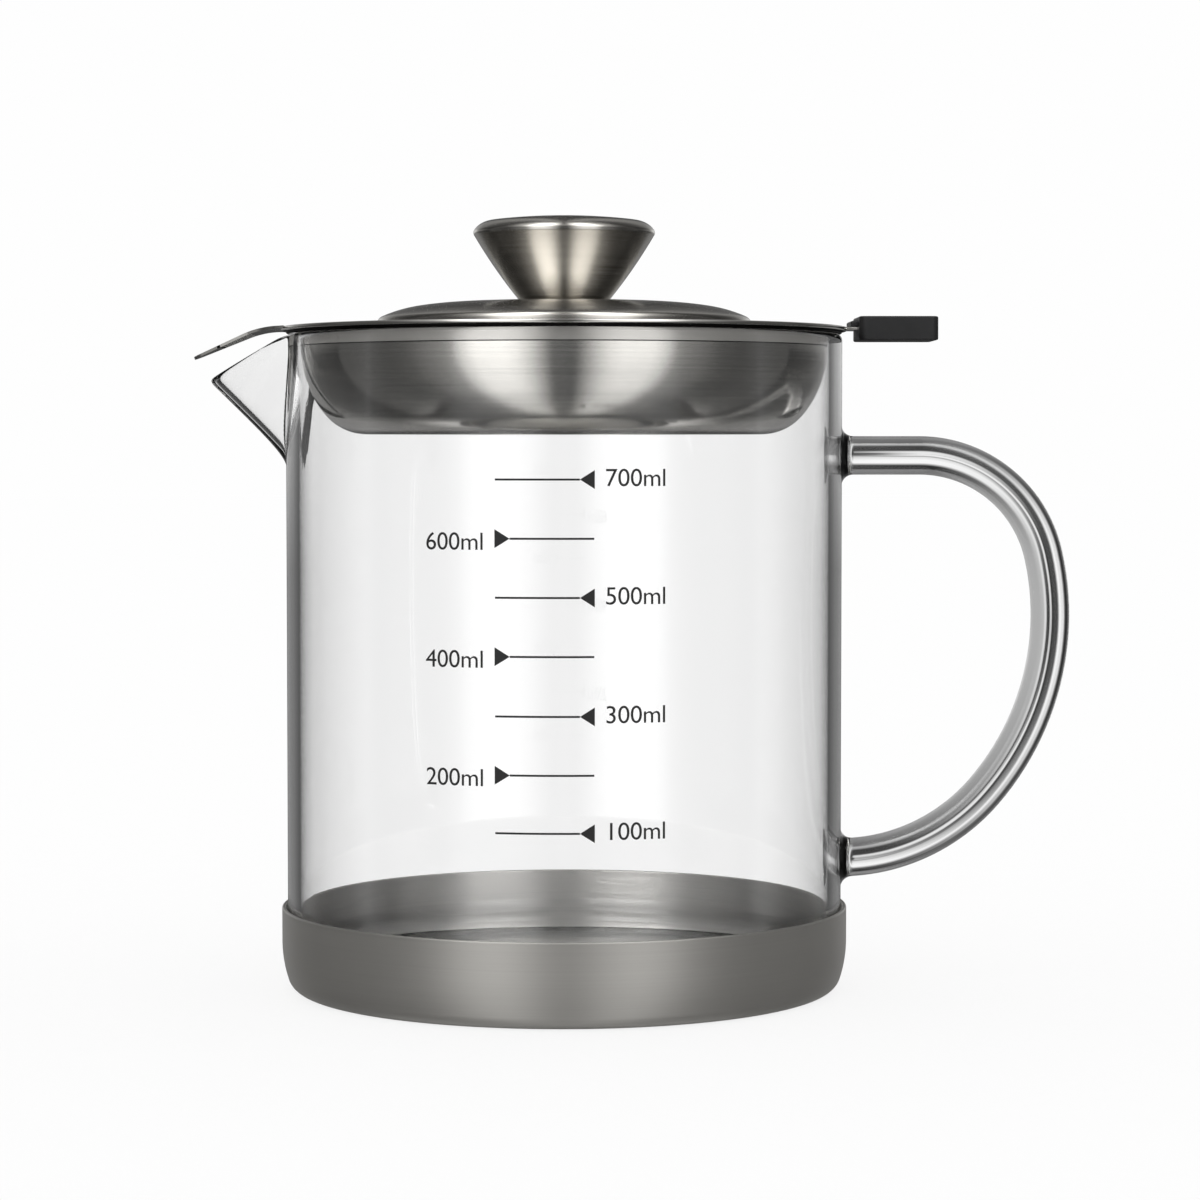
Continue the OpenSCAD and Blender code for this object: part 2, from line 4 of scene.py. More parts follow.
import bpy
from bpy.props import FloatProperty, FloatVectorProperty, IntProperty, PointerProperty
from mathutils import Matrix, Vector


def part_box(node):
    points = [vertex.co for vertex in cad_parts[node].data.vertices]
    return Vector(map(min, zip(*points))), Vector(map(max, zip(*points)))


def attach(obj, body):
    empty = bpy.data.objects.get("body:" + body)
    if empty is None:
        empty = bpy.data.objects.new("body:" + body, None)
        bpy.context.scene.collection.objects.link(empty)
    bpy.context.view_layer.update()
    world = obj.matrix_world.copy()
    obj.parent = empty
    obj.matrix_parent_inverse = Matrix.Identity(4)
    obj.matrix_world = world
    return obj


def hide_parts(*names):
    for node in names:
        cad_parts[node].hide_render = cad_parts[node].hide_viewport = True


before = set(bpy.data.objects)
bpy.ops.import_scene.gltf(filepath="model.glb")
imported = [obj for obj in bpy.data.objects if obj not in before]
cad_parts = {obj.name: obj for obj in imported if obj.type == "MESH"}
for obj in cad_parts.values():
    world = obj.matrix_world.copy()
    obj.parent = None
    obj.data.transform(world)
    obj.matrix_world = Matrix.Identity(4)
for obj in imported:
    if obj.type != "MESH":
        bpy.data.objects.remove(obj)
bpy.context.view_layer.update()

bl_info = {
    "name": "Oil strainer jug",
    "version": (1, 0, 0),
    "blender": (4, 5, 0),
    "location": "3D View > Sidebar > Jug",
    "description": "Glass jug with a steel base cup, a hanging strainer and a loose lid",
    "category": "Add Mesh",
}

MM = 0.001
GLASS_LOW, GLASS_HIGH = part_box("glass_body")
CUP_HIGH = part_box("base_cup")[1]
BOWL_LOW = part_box("strainer_bowl")[0]
KNOB_LOW, KNOB_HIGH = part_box("lid_knob")
LID_LOW, LID_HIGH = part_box("lid_plate")
GRIP_LOW, GRIP_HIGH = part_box("strainer_grip")
GLASS_R = GLASS_HIGH.y
RIM_Z = GLASS_HIGH.z
FULL_TURN = 2 * math.pi
RIGHT_ANGLE = math.pi / 2

# The studio: the level of the white background and of the plain light on matt surfaces, and the
# share of the paper that the camera sees over that white. The tables give what metal and glass
# see: a level for an angle in degrees, turned away from the camera or raised from the level.
WHITE = 0.991
PLAIN = 0.95
PAPER_SHARE = 0.2
# Metal, in front: a soft box on each side of the camera, set further apart higher up
FRONT_TURN = [(0, 0.09), (5, 0.12), (9, 0.4), (14, 0.8), (20, 1.2), (26, 1.38), (38, 1.32),
              (44, 0.9), (49, 0.36), (53, 0.27), (62, 0.18), (70, 0.1), (80, 0.07), (110, 0.09)]
FRONT_RISE = [(-90, 0.55), (-60, 0.6), (-48, 0.95), (-30, 1.0), (30, 1.3), (50, 2.4), (58, 3.2),
              (73, 4.2), (79, 1.8), (85, 0.5), (90, 0.2)]
BOX_SPREAD = [(-90, 1.0), (25, 1.0), (60, 1.6), (90, 1.6)]
# Metal, behind: a darker room with a lit strip, from this turn on
BACK_FROM = 110
BACK_TURN = [(110, 0.1), (125, 0.2), (142, 0.4), (150, 0.9), (166, 0.9), (172, 0.22), (180, 0.2)]
BACK_RISE = [(-90, 0.3), (-20, 0.3), (-2, 0.3), (1, 0.9), (8, 0.9), (14, 0.5), (24, 0.3),
             (60, 0.5), (90, 0.5)]
# Metal, from below: a weak light all round, and light that comes back off the table
ALL_ROUND = [(-90, 0.14), (-60, 0.1), (-40, 0.0), (90, 0.0)]
BELOW_RISE = [(-90, 0.7), (-55, 0.7), (-42, 0.0), (90, 0.0)]
# How much weaker the soft box on the handle's side is
RIGHT_DIMMED = 0.12
# Steel seen through four walls of glass is raised for the light that the bounce limit drops
INSIDE_LIFT = 2.2
# The glass wall: a lit panel with dark flags beside it
WALL_TURN = [(0, 0.9), (3, 0.6), (10, 0.28), (22, 0.15), (34, 0.09), (45, 0.25)]
WALL_RISE = [(-90, 0.2), (-30, 0.3), (-8, 1.0), (16, 1.0), (22, 0.15), (32, 0.1), (45, 0.4),
             (90, 0.5)]
# What the handle's rod bends into view: the angle away from its middle, and the level there
ROD_MIDDLE = (6, -3)
ROD_LEFT = [(0, 0.6), (1.5, 0.45), (2.3, 0.02), (13, 0.02), (15, 0.25), (18, 0.95), (20, 1.0),
            (24, 0.85), (30, 0.8), (33, 0.3), (38, 0.02), (47, 0.02), (55, 0.12), (90, 0.25)]
ROD_RIGHT = [(0, 0.6), (1.8, 0.55), (2.8, 0.0), (7.4, 0.0), (9, 0.6), (11, 0.7), (14, 0.48),
             (25, 0.44), (45, 0.46), (60, 0.55), (90, 0.8)]
ROD_UP = [(0, 0.95), (3, 0.85), (4.5, 0.3), (6, 0.8), (12, 1.0), (17.5, 1.0), (21, 0.4),
          (24, 0.02), (33, 0.02), (37, 0.18), (60, 0.2), (90, 0.2)]
ROD_DOWN = [(0, 0.95), (4.5, 0.8), (6.5, 0.1), (8, 0.03), (16, 0.03), (19, 0.3), (22, 0.45),
            (26, 0.14), (33, 0.16), (50, 0.24), (90, 0.3)]

# Brushed steels: share of bare metal, roughness, spacing and depth of the brush marks in
# millimetres, how far the lights are drawn out, and how strongly the marks show
Brush = namedtuple("Brush", "metal rough grain depth stretch contrast")
CUP_BRUSH = Brush(0.7, 0.42, 0.3, 0.008, 0.6, 0.06)
# The cup's inside is shinier steel, and is also lightened as painted light for light lost inside
# the glass
INSIDE_BRUSH = Brush(1.0, 0.5, 0.4, 0.004, 0.92, 0.06)
BOWL_BRUSH = Brush(1.0, 0.13, 0.5, 0.001, 0.86, 0.09)
# The band under the flange is a lighter, less metallic copy of the bowl's steel, a painted
# highlight
HIGHLIGHT_BAND_BRUSH = Brush(0.62, 0.2, 0.5, 0.002, 0.8, 0.06)
RING_BRUSH = Brush(1.0, 0.26, 0.35, 0.006, 0.5, 0.06)
LID_BRUSH = Brush(1.0, 0.2, 0.35, 0.004, 0.6, 0.08)
KNOB_BRUSH = Brush(1.0, 0.18, 0.3, 0.005, 0.75, 0.08)
# Near-black steel, painted shade in the flange's fold and in the fine shadow line on the bowl
PAINTED_SHADE_STEEL = "1C1B1A"

# The printed marks, in millimetres along the glass: the ends of the line, the arrow's tip and
# base, the edge of the label, and how far the label's foot hangs below the line
LEFT_MARK = {"line": (-9.9, 5.4), "tip": -9.9, "base": -12.7, "label": -14.6, "down": 2.05,
             "align": "RIGHT"}
RIGHT_MARK = {"line": (-12.6, 2.8), "tip": 2.8, "base": 5.5, "label": 7.3, "down": 1.2,
              "align": "LEFT"}
ARROW_HALF = 1.7
# Size of the font for digits of height 1
FONT_SIZE = 1.38
INK_PROUD = 0.05
# The second and third marks stand a trace lower than the even steps
LOW_MARKS, LOW_BY = (1, 2), 0.15

# The dome's arcs from its flat middle outwards: radius in any unit, because all are scaled to
# fit, and the slope in degrees at the end; the last one ends at the slope of the side
DOME_ARCS, LAST_ARC = [(330, 2), (60, 9), (26, 24)], 1.6
# Degrees above the level at which the knob's crown runs from its shoulder into its middle
LEVEL_OFF = 83

# The camera: its place in millimetres, its angles down and aside in degrees, and its lens
CAMERA_PLACE = (0, -684.7, 107)
CAMERA_DOWN, CAMERA_ASIDE = 2.61, 0.583
CAMERA_LENS, CAMERA_SENSOR = 105.3, 36


# ---------------------------------------------------------------- sizes and colours


def linear(code):
    """Linear red, green and blue of an sRGB hex colour."""
    shares = [int(code[i:i + 2], 16) / 255 for i in (0, 2, 4)]
    return [c / 12.92 if c <= 0.04045 else ((c + 0.055) / 1.055) ** 2.4 for c in shares]


def size(name, default, text):
    """A length that the user may change, given in millimetres."""
    return FloatProperty(name=name, description=text, default=default * MM, min=0, precision=5,
                         unit="LENGTH", subtype="DISTANCE")


def angle(name, default, text):
    """An angle that the user may change, given in degrees."""
    return FloatProperty(name=name, description=text, default=math.radians(default),
                         unit="ROTATION", subtype="ANGLE")


def colour(name, default, text):
    """A colour that the user may change, given as an sRGB hex value."""
    return FloatVectorProperty(name=name, description=text, default=linear(default), size=3,
                               min=0, max=1, subtype="COLOR")


class GlassSizes(bpy.types.PropertyGroup):
    wall: size("Wall", 2.5, "Thickness of the blown wall")
    floor: size("Floor", 2.6, "Thickness of the glass floor")
    heel: size("Heel", 5, "Outer rounding of the heel")
    inner_heel: size("Inner heel", 6, "Rounding between floor and wall")
    rim: size("Rim", 1.3, "Outer rounding of the fire-polished rim")
    inner_rim: size("Inner rim", 1.15, "Inner rounding of the rim")
    beak_drop: size("Beak depth", 26.3, "How far the beak runs down from the rim")
    beak_angle: angle("Beak angle", 15.7, "Half the angle that the beak takes from the rim")
    beak_nose: angle("Nose", 3.5, "Softness of the nose seen from above")
    keel_slope: FloatProperty(name="Keel slope", default=1.05,
                              description="Outward run of the keel for its height")
    keel_blend: size("Keel blend", 3.3, "Soft start of the keel at the wall")
    lip_angle: angle("Lip angle", 28.5, "Downward angle of the pouring lip")
    lip_blend: size("Lip blend", 5, "Rounding between the rim and the lip")
    crease: size("Crease", 0.5, "Softness of the crease between wall and beak")
    crease_shift: FloatProperty(name="Crease shift", default=0.36, description="How far the "
                                "inner crease lies towards the nose, as a share of the wall")
    rod: size("Rod", 7.5, "Diameter of the handle's rod")
    fuse: size("Fused end", 2.4, "Rounding where the rod is fused to the wall")
    drop: size("Handle drop", 23.4, "From the rim down to the handle")
    span: size("Handle span", 78.7, "Between the handle's ends")
    reach: size("Handle reach", 41, "From the glass out to the middle of the rod")
    top_bend: size("Top bend", 25, "Radius of the bend at the top of the handle")
    top_turn: angle("Top turn", 77, "Angle that the top bend turns through")
    back_bend: size("Back bend", 53, "Radius of the long bend at the back")
    foot_bend: size("Foot bend", 37, "Radius of the bend at the foot")


class CupSizes(bpy.types.PropertyGroup):
    sheet: size("Sheet", 0.8, "Thickness of the cup's steel")
    side: size("Side curve", 24, "Radius of the long side curve")
    corner: size("Corner", 3.5, "Radius of the tight corner at the foot")
    turn: angle("Turn", 18, "Angle at which the side curve meets the corner")
    lip: size("Lip", 0.35, "Rounding of the upper edge")
    recess: size("Recess", 0.6, "Depth of the recess in the underside")
    ring: size("Ring", 10, "Width of the flat ring that the jug stands on")


class StrainerSizes(bpy.types.PropertyGroup):
    sheet: size("Sheet", 0.5, "Thickness of the strainer's steel")
    gap: size("Gap", 0.4, "Gap between the bowl and the glass")
    corner: size("Corner", 10.5, "Soft corner at the bottom of the bowl")
    side: size("Side curve", 20, "Side curve of the bowl")
    turn: angle("Turn", 50, "Angle at which the two curves meet")
    rim_bend: size("Rim bend", 1.1, "Bend over the glass rim, inside the sheet")
    # The band under the flange is a painted highlight: a lighter copy of the strainer's steel
    band: size("Band", 2.3, "Height of the lighter band under the flange, a painted highlight")
    over: size("Brim", 1, "How far the flange reaches past the glass")
    hem: size("Hem", 1.5, "Width of the folded edge")
    hem_h: size("Hem height", 0.8, "Height of the folded edge")
    hem_lift: size("Hem lift", 0.6, "Height of the folded edge above the glass rim")
    mesh_open: size("Mesh opening", 33, "Radius of the opening in the bottom")
    tongue_reach: size("Tongue", 17, "How far the tongue stands out from the flange")
    tongue_angle: angle("Tongue angle", 23.3, "Downward angle of the tongue")
    tongue_bend: size("Tongue bend", 17.5, "Bend where the tongue turns down")
    tongue_root: size("Tongue root", 22, "Width of the tongue at the flange")
    tongue_tip: size("Tongue tip", 3, "Rounding of the tongue's tip")
    tongue_fillet: size("Tongue fillet", 4, "Rounding between tongue and flange")
    tab: size("Tab", 11, "Width of the steel tab")
    tab_in: size("Tab depth", 12, "How deep the tab reaches into the grip")
    pitch: size("Wire pitch", 1.4, "Spacing of the woven wires")
    wire: size("Wire", 0.32, "Thickness of the wires")
    clamp: size("Clamp width", 3, "Width of the clamping ring")
    clamp_t: size("Clamp", 0.6, "Thickness of the clamping ring")


class GripSizes(bpy.types.PropertyGroup):
    corner: size("Corner", 1.6, "Rounding of the corners seen from above")
    edge: size("Edge", 0.35, "Rounding of the edges")
    shoulder: size("Shoulder", 1.45, "Length of the shoulder over the tab")
    shoulder_h: size("Shoulder height", 1.6, "Height of the shoulder above the tab")


class LidSizes(bpy.types.PropertyGroup):
    sheet: size("Sheet", 0.6, "Thickness of the lid's steel")
    dome: size("Dome", 36.4, "Radius of the raised middle at its foot")
    dome_h: size("Dome height", 5.3, "Height of the raised middle above the brim")
    side: angle("Dome side", 82, "Slope of the dome's steep side")
    fillet: size("Dome fillet", 1, "Rounding between dome and brim")
    knob_foot: size("Knob foot", 8.5, "Radius of the knob at its foot")
    crown: size("Crown", 3.2, "Height of the knob's crown above its widest part")
    edge: size("Knob edge", 0.95, "Rounding of the knob's edge")
    bulge: size("Bulge", 0.3, "Outward bulge of the knob's side")
    shoulder: FloatProperty(name="Shoulder", default=35, min=10, max=60, description="Degrees "
                            "above the level at which the crown's shoulder leaves the edge")


class ScaleSizes(bpy.types.PropertyGroup):
    step: size("Step", 10.65, "Mean distance between two marks")
    first: size("First mark", 36, "Height of the lowest mark above the table")
    line_w: size("Line width", 0.37, "Thickness of a mark's line")
    digit: size("Digits", 3.3, "Height of the digits")
    count: IntProperty(name="Marks", default=7, description="Number of marks")


class Finishes(bpy.types.PropertyGroup):
    cup: colour("Base cup", "A2A09C", "Brushed steel of the base cup")
    # The inside's near-white tone is partly shinier steel and partly painted light
    inside: colour("Cup inside", "F4F2EE", "Bright steel inside the base cup")
    strainer: colour("Strainer", "DAD8D3", "Drawn steel of the strainer")
    lid: colour("Lid", "BDBAB4", "Spun steel of the lid and knob")
    wire: colour("Wire", "C4C2BE", "Steel wire of the net")
    grip: colour("Grip", "1D1D1E", "Black silicone of the grip")
    ring: colour("Seat ring", "E6E8E6", "Milky silicone of the seat ring")
    ink: colour("Ink", "0D0D0E", "Black ink of the scale")
    floor: colour("Floor", "F2F2F2", "Pale floor")


# ---------------------------------------------------------------- modelling helpers


def deselect():
    """Leaves edit mode and selects nothing, because operators act on all that is selected."""
    if bpy.context.object and bpy.context.object.mode != "OBJECT":
        bpy.ops.object.mode_set(mode="OBJECT")
    bpy.ops.object.select_all(action="DESELECT")


def take(piece):
    """Selects one piece alone and makes it active."""
    deselect()
    piece.select_set(True)
    bpy.context.view_layer.objects.active = piece


def edit(piece):
    """Opens one piece in edit mode with all of it selected."""
    take(piece)
    bpy.ops.object.mode_set(mode="EDIT")
    bpy.ops.mesh.select_all(action="SELECT")


def name_active(name):
    """Names the piece that was just added."""
    piece = bpy.context.object
    piece.name = piece.data.name = name
    return piece


def settle(piece):
    """Puts the piece's place into its mesh, so that its object sits at the origin."""
    take(piece)
    bpy.ops.object.transform_apply(location=True, rotation=True, scale=True)


def close_up(piece, reach=2e-6):
    """Merges doubled points and turns all faces outwards."""
    edit(piece)
    bpy.ops.mesh.remove_doubles(threshold=reach)
    bpy.ops.mesh.normals_make_consistent(inside=False)
    bpy.ops.object.mode_set(mode="OBJECT")


def smooth(piece, limit=35):
    """Smooth shading, with a crease where faces meet at more than the limit in degrees."""
    take(piece)
    bpy.ops.object.shade_smooth_by_angle(angle=math.radians(limit))


def with_modifier(piece, kind, **settings):
    """Adds a modifier, sets it and applies it."""
    take(piece)
    bpy.ops.object.modifier_add(type=kind)
    modifier = piece.modifiers[-1]
    for key, value in settings.items():
        setattr(modifier, key, value)
    bpy.ops.object.modifier_apply(modifier=modifier.name)


def weld(piece, other, operation="UNION"):
    """Joins another solid to this one, or cuts it out, and takes the other away."""
    with_modifier(piece, "BOOLEAN", operation=operation, solver="EXACT", object=other)
    bpy.data.objects.remove(other)


def chain(name, points):
    """A line drawn by extruding one point from place to place."""
    deselect()
    bpy.ops.mesh.primitive_plane_add(size=MM)
    piece = name_active(name)
    edit(piece)
    bpy.ops.mesh.merge(type="CENTER")
    bpy.ops.transform.translate(value=points[0])
    for here, there in zip(points, points[1:]):
        step = Vector(there) - Vector(here)
        bpy.ops.mesh.extrude_region_move(TRANSFORM_OT_translate={"value": step})
    bpy.ops.object.mode_set(mode="OBJECT")
    return piece


def turn(piece, steps, around=FULL_TURN):
    """Spins the selected line on about the jug's axis."""
    bpy.ops.mesh.spin(steps=steps, angle=around, center=(0, 0, 0), axis=(0, 0, 1))


def turned(name, line, steps=256):
    """A round piece: its half section, as points of radius and height, spun about the axis."""
    piece = chain(name, [(r, 0, z) for r, z in line])
    edit(piece)
    turn(piece, steps)
    close_up(piece)
    smooth(piece)
    return piece


def block(name, middle, spans):
    """A box about its middle, with its sizes along the axes."""
    deselect()
    bpy.ops.mesh.primitive_cube_add(size=1, location=middle, scale=spans)
    piece = name_active(name)
    settle(piece)
    return piece


def arc(centre, r, start, end, steps=12):
    """Points of an arc in a section, from one angle to another, in degrees."""
    angles = [math.radians(start + (end - start) * i / steps) for i in range(steps + 1)]
    return [(centre[0] + r * math.cos(a), centre[1] + r * math.sin(a)) for a in angles]


def mix(a, b, t):
    """The point a share t of the way from a to b."""
    return tuple(p + (q - p) * t for p, q in zip(a, b))


def rounded(start, corner, end, steps=8):
    """Points of a soft corner: a curve from start to end that is drawn to the corner."""
    shares = [i / steps for i in range(steps + 1)]
    return [mix(mix(start, corner, t), mix(corner, end, t), t) for t in shares]


def dress(piece, body, finish, nodes=()):
    """Gives a piece its finish, lets it ride on a body and hides the CAD nodes it stands for."""
    piece.data.materials.clear()
    piece.data.materials.append(finish)
    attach(piece, body)
    if nodes:
        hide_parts(*nodes)


def refinish(finish, *nodes):
    """Gives CAD nodes that stay in view their finish."""
    for node in nodes:
        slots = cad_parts[node].data.materials
        slots.clear()
        slots.append(finish)


# ---------------------------------------------------------------- finishes


def add_node(tree, kind, inputs=None, **settings):
    """Adds one node with its settings; an input is a value, or an output socket to link."""
    made = tree.nodes.new("ShaderNode" + kind)
    for key, value in settings.items():
        setattr(made, key, value)
    for key, value in (inputs or {}).items():
        if isinstance(value, bpy.types.NodeSocket):
            tree.links.new(value, made.inputs[key])
        else:
            made.inputs[key].default_value = value
    return made


def calc(tree, operation, first, second=0.0):
    """The result of one sum in a node tree."""
    return add_node(tree, "Math", {0: first, 1: second}, operation=operation).outputs[0]


def vector(tree, operation, first, second=(0, 0, 0)):
    """The outputs of one sum with places in a node tree."""
    return add_node(tree, "VectorMath", {0: first, 1: second}, operation=operation).outputs


def noise(tree, place, scale, detail):
    """Soft random marks, with their scale as a count in a metre."""
    return add_node(tree, "TexNoise", {"Vector": place, "Scale": scale,
                                       "Detail": detail}).outputs["Fac"]


def bumps(tree, height, strength, depth):
    """A surface's direction where marks go up and down by a depth in millimetres."""
    return add_node(tree, "Bump", {"Height": height, "Strength": strength,
                                   "Distance": depth * MM}).outputs[0]


def spread(tree, value, low, high, **limits):
    """A value spread from low to high."""
    return add_node(tree, "MapRange", {"Value": value, "To Min": low, "To Max": high,
                                       **limits}).outputs[0]


def shade(rgb, factor=1.0):
    """A colour socket's value from a linear colour, made lighter or darker."""
    return [min(1, c * factor) for c in rgb] + [1]


def grey(level):
    """A colour socket's value for a level of light."""
    return (level, level, level, 1)


def tones(tree, value, rgb, darker, lighter, low=0.3, high=0.7):
    """A colour that goes with a value from a darker tone to a lighter one."""
    ramp = add_node(tree, "ValToRGB", {"Fac": value})
    first, last = ramp.color_ramp.elements
    first.position, first.color = low, shade(rgb, darker)
    last.position, last.color = high, shade(rgb, lighter)
    return ramp.outputs["Color"]


def new_finish(name):
    """A new material, its empty node tree, and the place on the piece in that tree."""
    finish = bpy.data.materials.new(name)
    finish.use_nodes = True
    tree = finish.node_tree
    tree.nodes.clear()
    return finish, tree, add_node(tree, "TexCoord").outputs["Object"]


def surface(finish, kind, inputs):
    """Ends a material's node tree with its shader."""
    shader = add_node(finish.node_tree, kind, inputs)
    add_node(finish.node_tree, "OutputMaterial", {"Surface": shader.outputs[0]})
    return finish


def brushed_steel(name, rgb, brush):
    """Stainless steel, brushed round the axis: lights draw out into soft upright bands, with
    fine level lines across them. The lines are drawn 0.3 to 0.5 mm apart, because real
    brush marks of 0.05 mm are too fine to show."""
    finish, tree, place = new_finish(name)
    at = add_node(tree, "SeparateXYZ", {0: place}).outputs
    level = add_node(tree, "CombineXYZ", {"X": at["X"], "Y": at["Y"]}).outputs[0]
    radius = vector(tree, "LENGTH", level)["Value"]
    count = 1 / (brush.grain * MM)
    long = vector(tree, "MULTIPLY", level, (18, 18, 0))[0]
    across = add_node(tree, "CombineXYZ", {"Z": calc(tree, "MULTIPLY", at["Z"], count)})
    marks = add_node(tree, "TexNoise", {
        "Vector": vector(tree, "ADD", long, across.outputs[0])[0],
        "W": calc(tree, "MULTIPLY", radius, count), "Scale": 1.0, "Detail": 2.0,
        "Roughness": 0.6}, noise_dimensions="4D").outputs["Fac"]
    tone = calc(tree, "MULTIPLY", calc(tree, "ADD", marks, noise(tree, place, 40.0, 2.0)), 0.5)
    round_it = add_node(tree, "CombineXYZ", {"X": calc(tree, "MULTIPLY", at["Y"], -1.0),
                                             "Y": at["X"]})
    return surface(finish, "BsdfPrincipled", {
        "Base Color": tones(tree, tone, rgb, 1 - brush.contrast, 1 + brush.contrast),
        "Metallic": brush.metal,
        "Roughness": spread(tree, marks, brush.rough - 0.03, brush.rough + 0.04,
                            **{"From Min": 0.3, "From Max": 0.7}),
        "Anisotropic": brush.stretch, "Anisotropic Rotation": 0.25,
        "Tangent": vector(tree, "NORMALIZE", round_it.outputs[0])[0],
        "Normal": bumps(tree, marks, 0.4, brush.depth)})


def plain_steel(name, rgb, rough):
    """Stainless steel wire and small turned parts: bright, with faint tumbling marks."""
    finish, tree, place = new_finish(name)
    marks = noise(tree, place, 900.0, 3.0)
    return surface(finish, "BsdfPrincipled", {
        "Base Color": tones(tree, marks, rgb, 0.9, 1.06), "Metallic": 1.0,
        "Roughness": spread(tree, marks, rough - 0.08, rough + 0.08)})


def blown_glass(name, rough=0.0):
    """Borosilicate glass, blown and drawn: clear, with slow waves about 16 mm long and
    0.01 mm high, which make the reflections in it waver a little."""
    finish, tree, place = new_finish(name)
    return surface(finish, "BsdfPrincipled", {
        "Base Color": shade(linear("FEFEFE")), "Roughness": rough, "IOR": 1.47,
        "Transmission Weight": 1.0,
        "Normal": bumps(tree, noise(tree, place, 60.0, 1.0), 0.5, 0.01)})


def moulded_silicone(name, rgb, rough, clear=0.0):
    """Silicone rubber, moulded: soft and matt, with the fine sparked grain of its mould,
    drawn 0.3 mm wide."""
    finish, tree, place = new_finish(name)
    return surface(finish, "BsdfPrincipled", {
        "Base Color": tones(tree, noise(tree, place, 250.0, 3.0), rgb, 0.85, 1.2, 0.3, 0.75),
        "Roughness": rough, "IOR": 1.41, "Transmission Weight": clear,
        "Normal": bumps(tree, noise(tree, place, 3300.0, 2.0), 0.3, 0.02)})


def fired_ink(name, rgb):
    """Ceramic ink, screen printed and fired: black and slightly satin, with a faint screen
    grain of 0.15 mm."""
    finish, tree, place = new_finish(name)
    screen = noise(tree, place, 6500.0, 1.0)
    return surface(finish, "BsdfPrincipled", {
        "Base Color": tones(tree, screen, rgb, 0.7, 1.4, 0, 1),
        "Roughness": spread(tree, screen, 0.5, 0.65)})


def studio_floor(name, rgb):
    """White background paper. The camera gets it at the background's white, with the jug's
    faint shadow on it; what is seen through the jug, in metal, in the glass's edges or from
    below the paper is left to the studio's own light."""
    finish, tree, place = new_finish(name)
    finish.cycles.emission_sampling = "NONE"
    fibre = tones(tree, noise(tree, place, 120.0, 2.0), rgb, 0.99, 1.01, 0, 1)
    paper = add_node(tree, "BsdfDiffuse", {"Color": fibre})
    glow = add_node(tree, "Emission", {"Strength": WHITE - rgb[0] * PLAIN})
    lit = add_node(tree, "AddShader", {0: paper.outputs[0], 1: glow.outputs[0]})
    ray = add_node(tree, "LightPath").outputs
    above = calc(tree, "SUBTRACT", 1.0, add_node(tree, "NewGeometry").outputs["Backfacing"])
    seen = calc(tree, "MULTIPLY", calc(tree, "MULTIPLY", ray["Is Camera Ray"], above),
                PAPER_SHARE)
    matt = calc(tree, "GREATER_THAN", ray["Diffuse Depth"], 0.5)
    return surface(finish, "MixShader", {
        0: calc(tree, "MAXIMUM", matt, seen),
        1: add_node(tree, "BsdfTransparent").outputs[0], 2: lit.outputs[0]})


# ---------------------------------------------------------------- glass


def keel(glass, height):
    """How far the beak's keel stands out at a height above its foot."""
    blend = glass.keel_blend
    return glass.keel_slope * (math.hypot(height, blend) - blend)


def beak_radius(glass, around, height, base):
    """Radius of a beak wall at an angle from its middle and a height above its foot.
    From above it is a V with a soft nose, which runs into the round wall at a soft crease."""
    if height <= 0:
        return base
    out = keel(glass, height)
    opening = height / glass.beak_drop
    full = glass.beak_angle - glass.crease_shift * (GLASS_R - base) / base
    spread = full * math.sin(min(RIGHT_ANGLE, RIGHT_ANGLE * opening))
    nose = glass.beak_nose
    edge = math.hypot(spread, nose)
    grow = (base + out) / base
    slant = math.atan2(math.sin(edge) - grow * math.sin(nose),
                       grow * math.cos(nose) - math.cos(edge))
    level = (base + out) * math.sin(slant + nose)
    vee = level / math.sin(slant + math.hypot(around, nose))
    soft = min(glass.crease, out / 2)
    return max(vee, base) + max(soft - abs(vee - base), 0) ** 2 / (4 * soft + 1e-12)


def lip_height(glass, x):
    """Height of the rim's upper line at a distance x towards the spout."""
    start = GLASS_R - glass.wall
    bend_end = start + glass.lip_blend * math.sin(glass.lip_angle)
    if x <= start:
        return RIM_Z
    if x < bend_end:
        return RIM_Z - glass.lip_blend + math.sqrt(glass.lip_blend ** 2 - (x - start) ** 2)
    drop = glass.lip_blend * (1 - math.cos(glass.lip_angle))
    return RIM_Z - drop - (x - bend_end) * math.tan(glass.lip_angle)


def beak_point(glass, around, height, base):
    """A point of a beak wall, as radius and height above the table."""
    return beak_radius(glass, around, height, base), RIM_Z - glass.beak_drop + height


def beak_top(glass, around, base):
    """Height above the beak's foot at which a wall meets the lip line."""
    low, high = 0.0, glass.beak_drop
    for _ in range(40):
        middle = (low + high) / 2
        r, z = beak_point(glass, around, middle, base)
        if z < lip_height(glass, r * math.cos(around)):
            low = middle
        else:
            high = middle
    return low


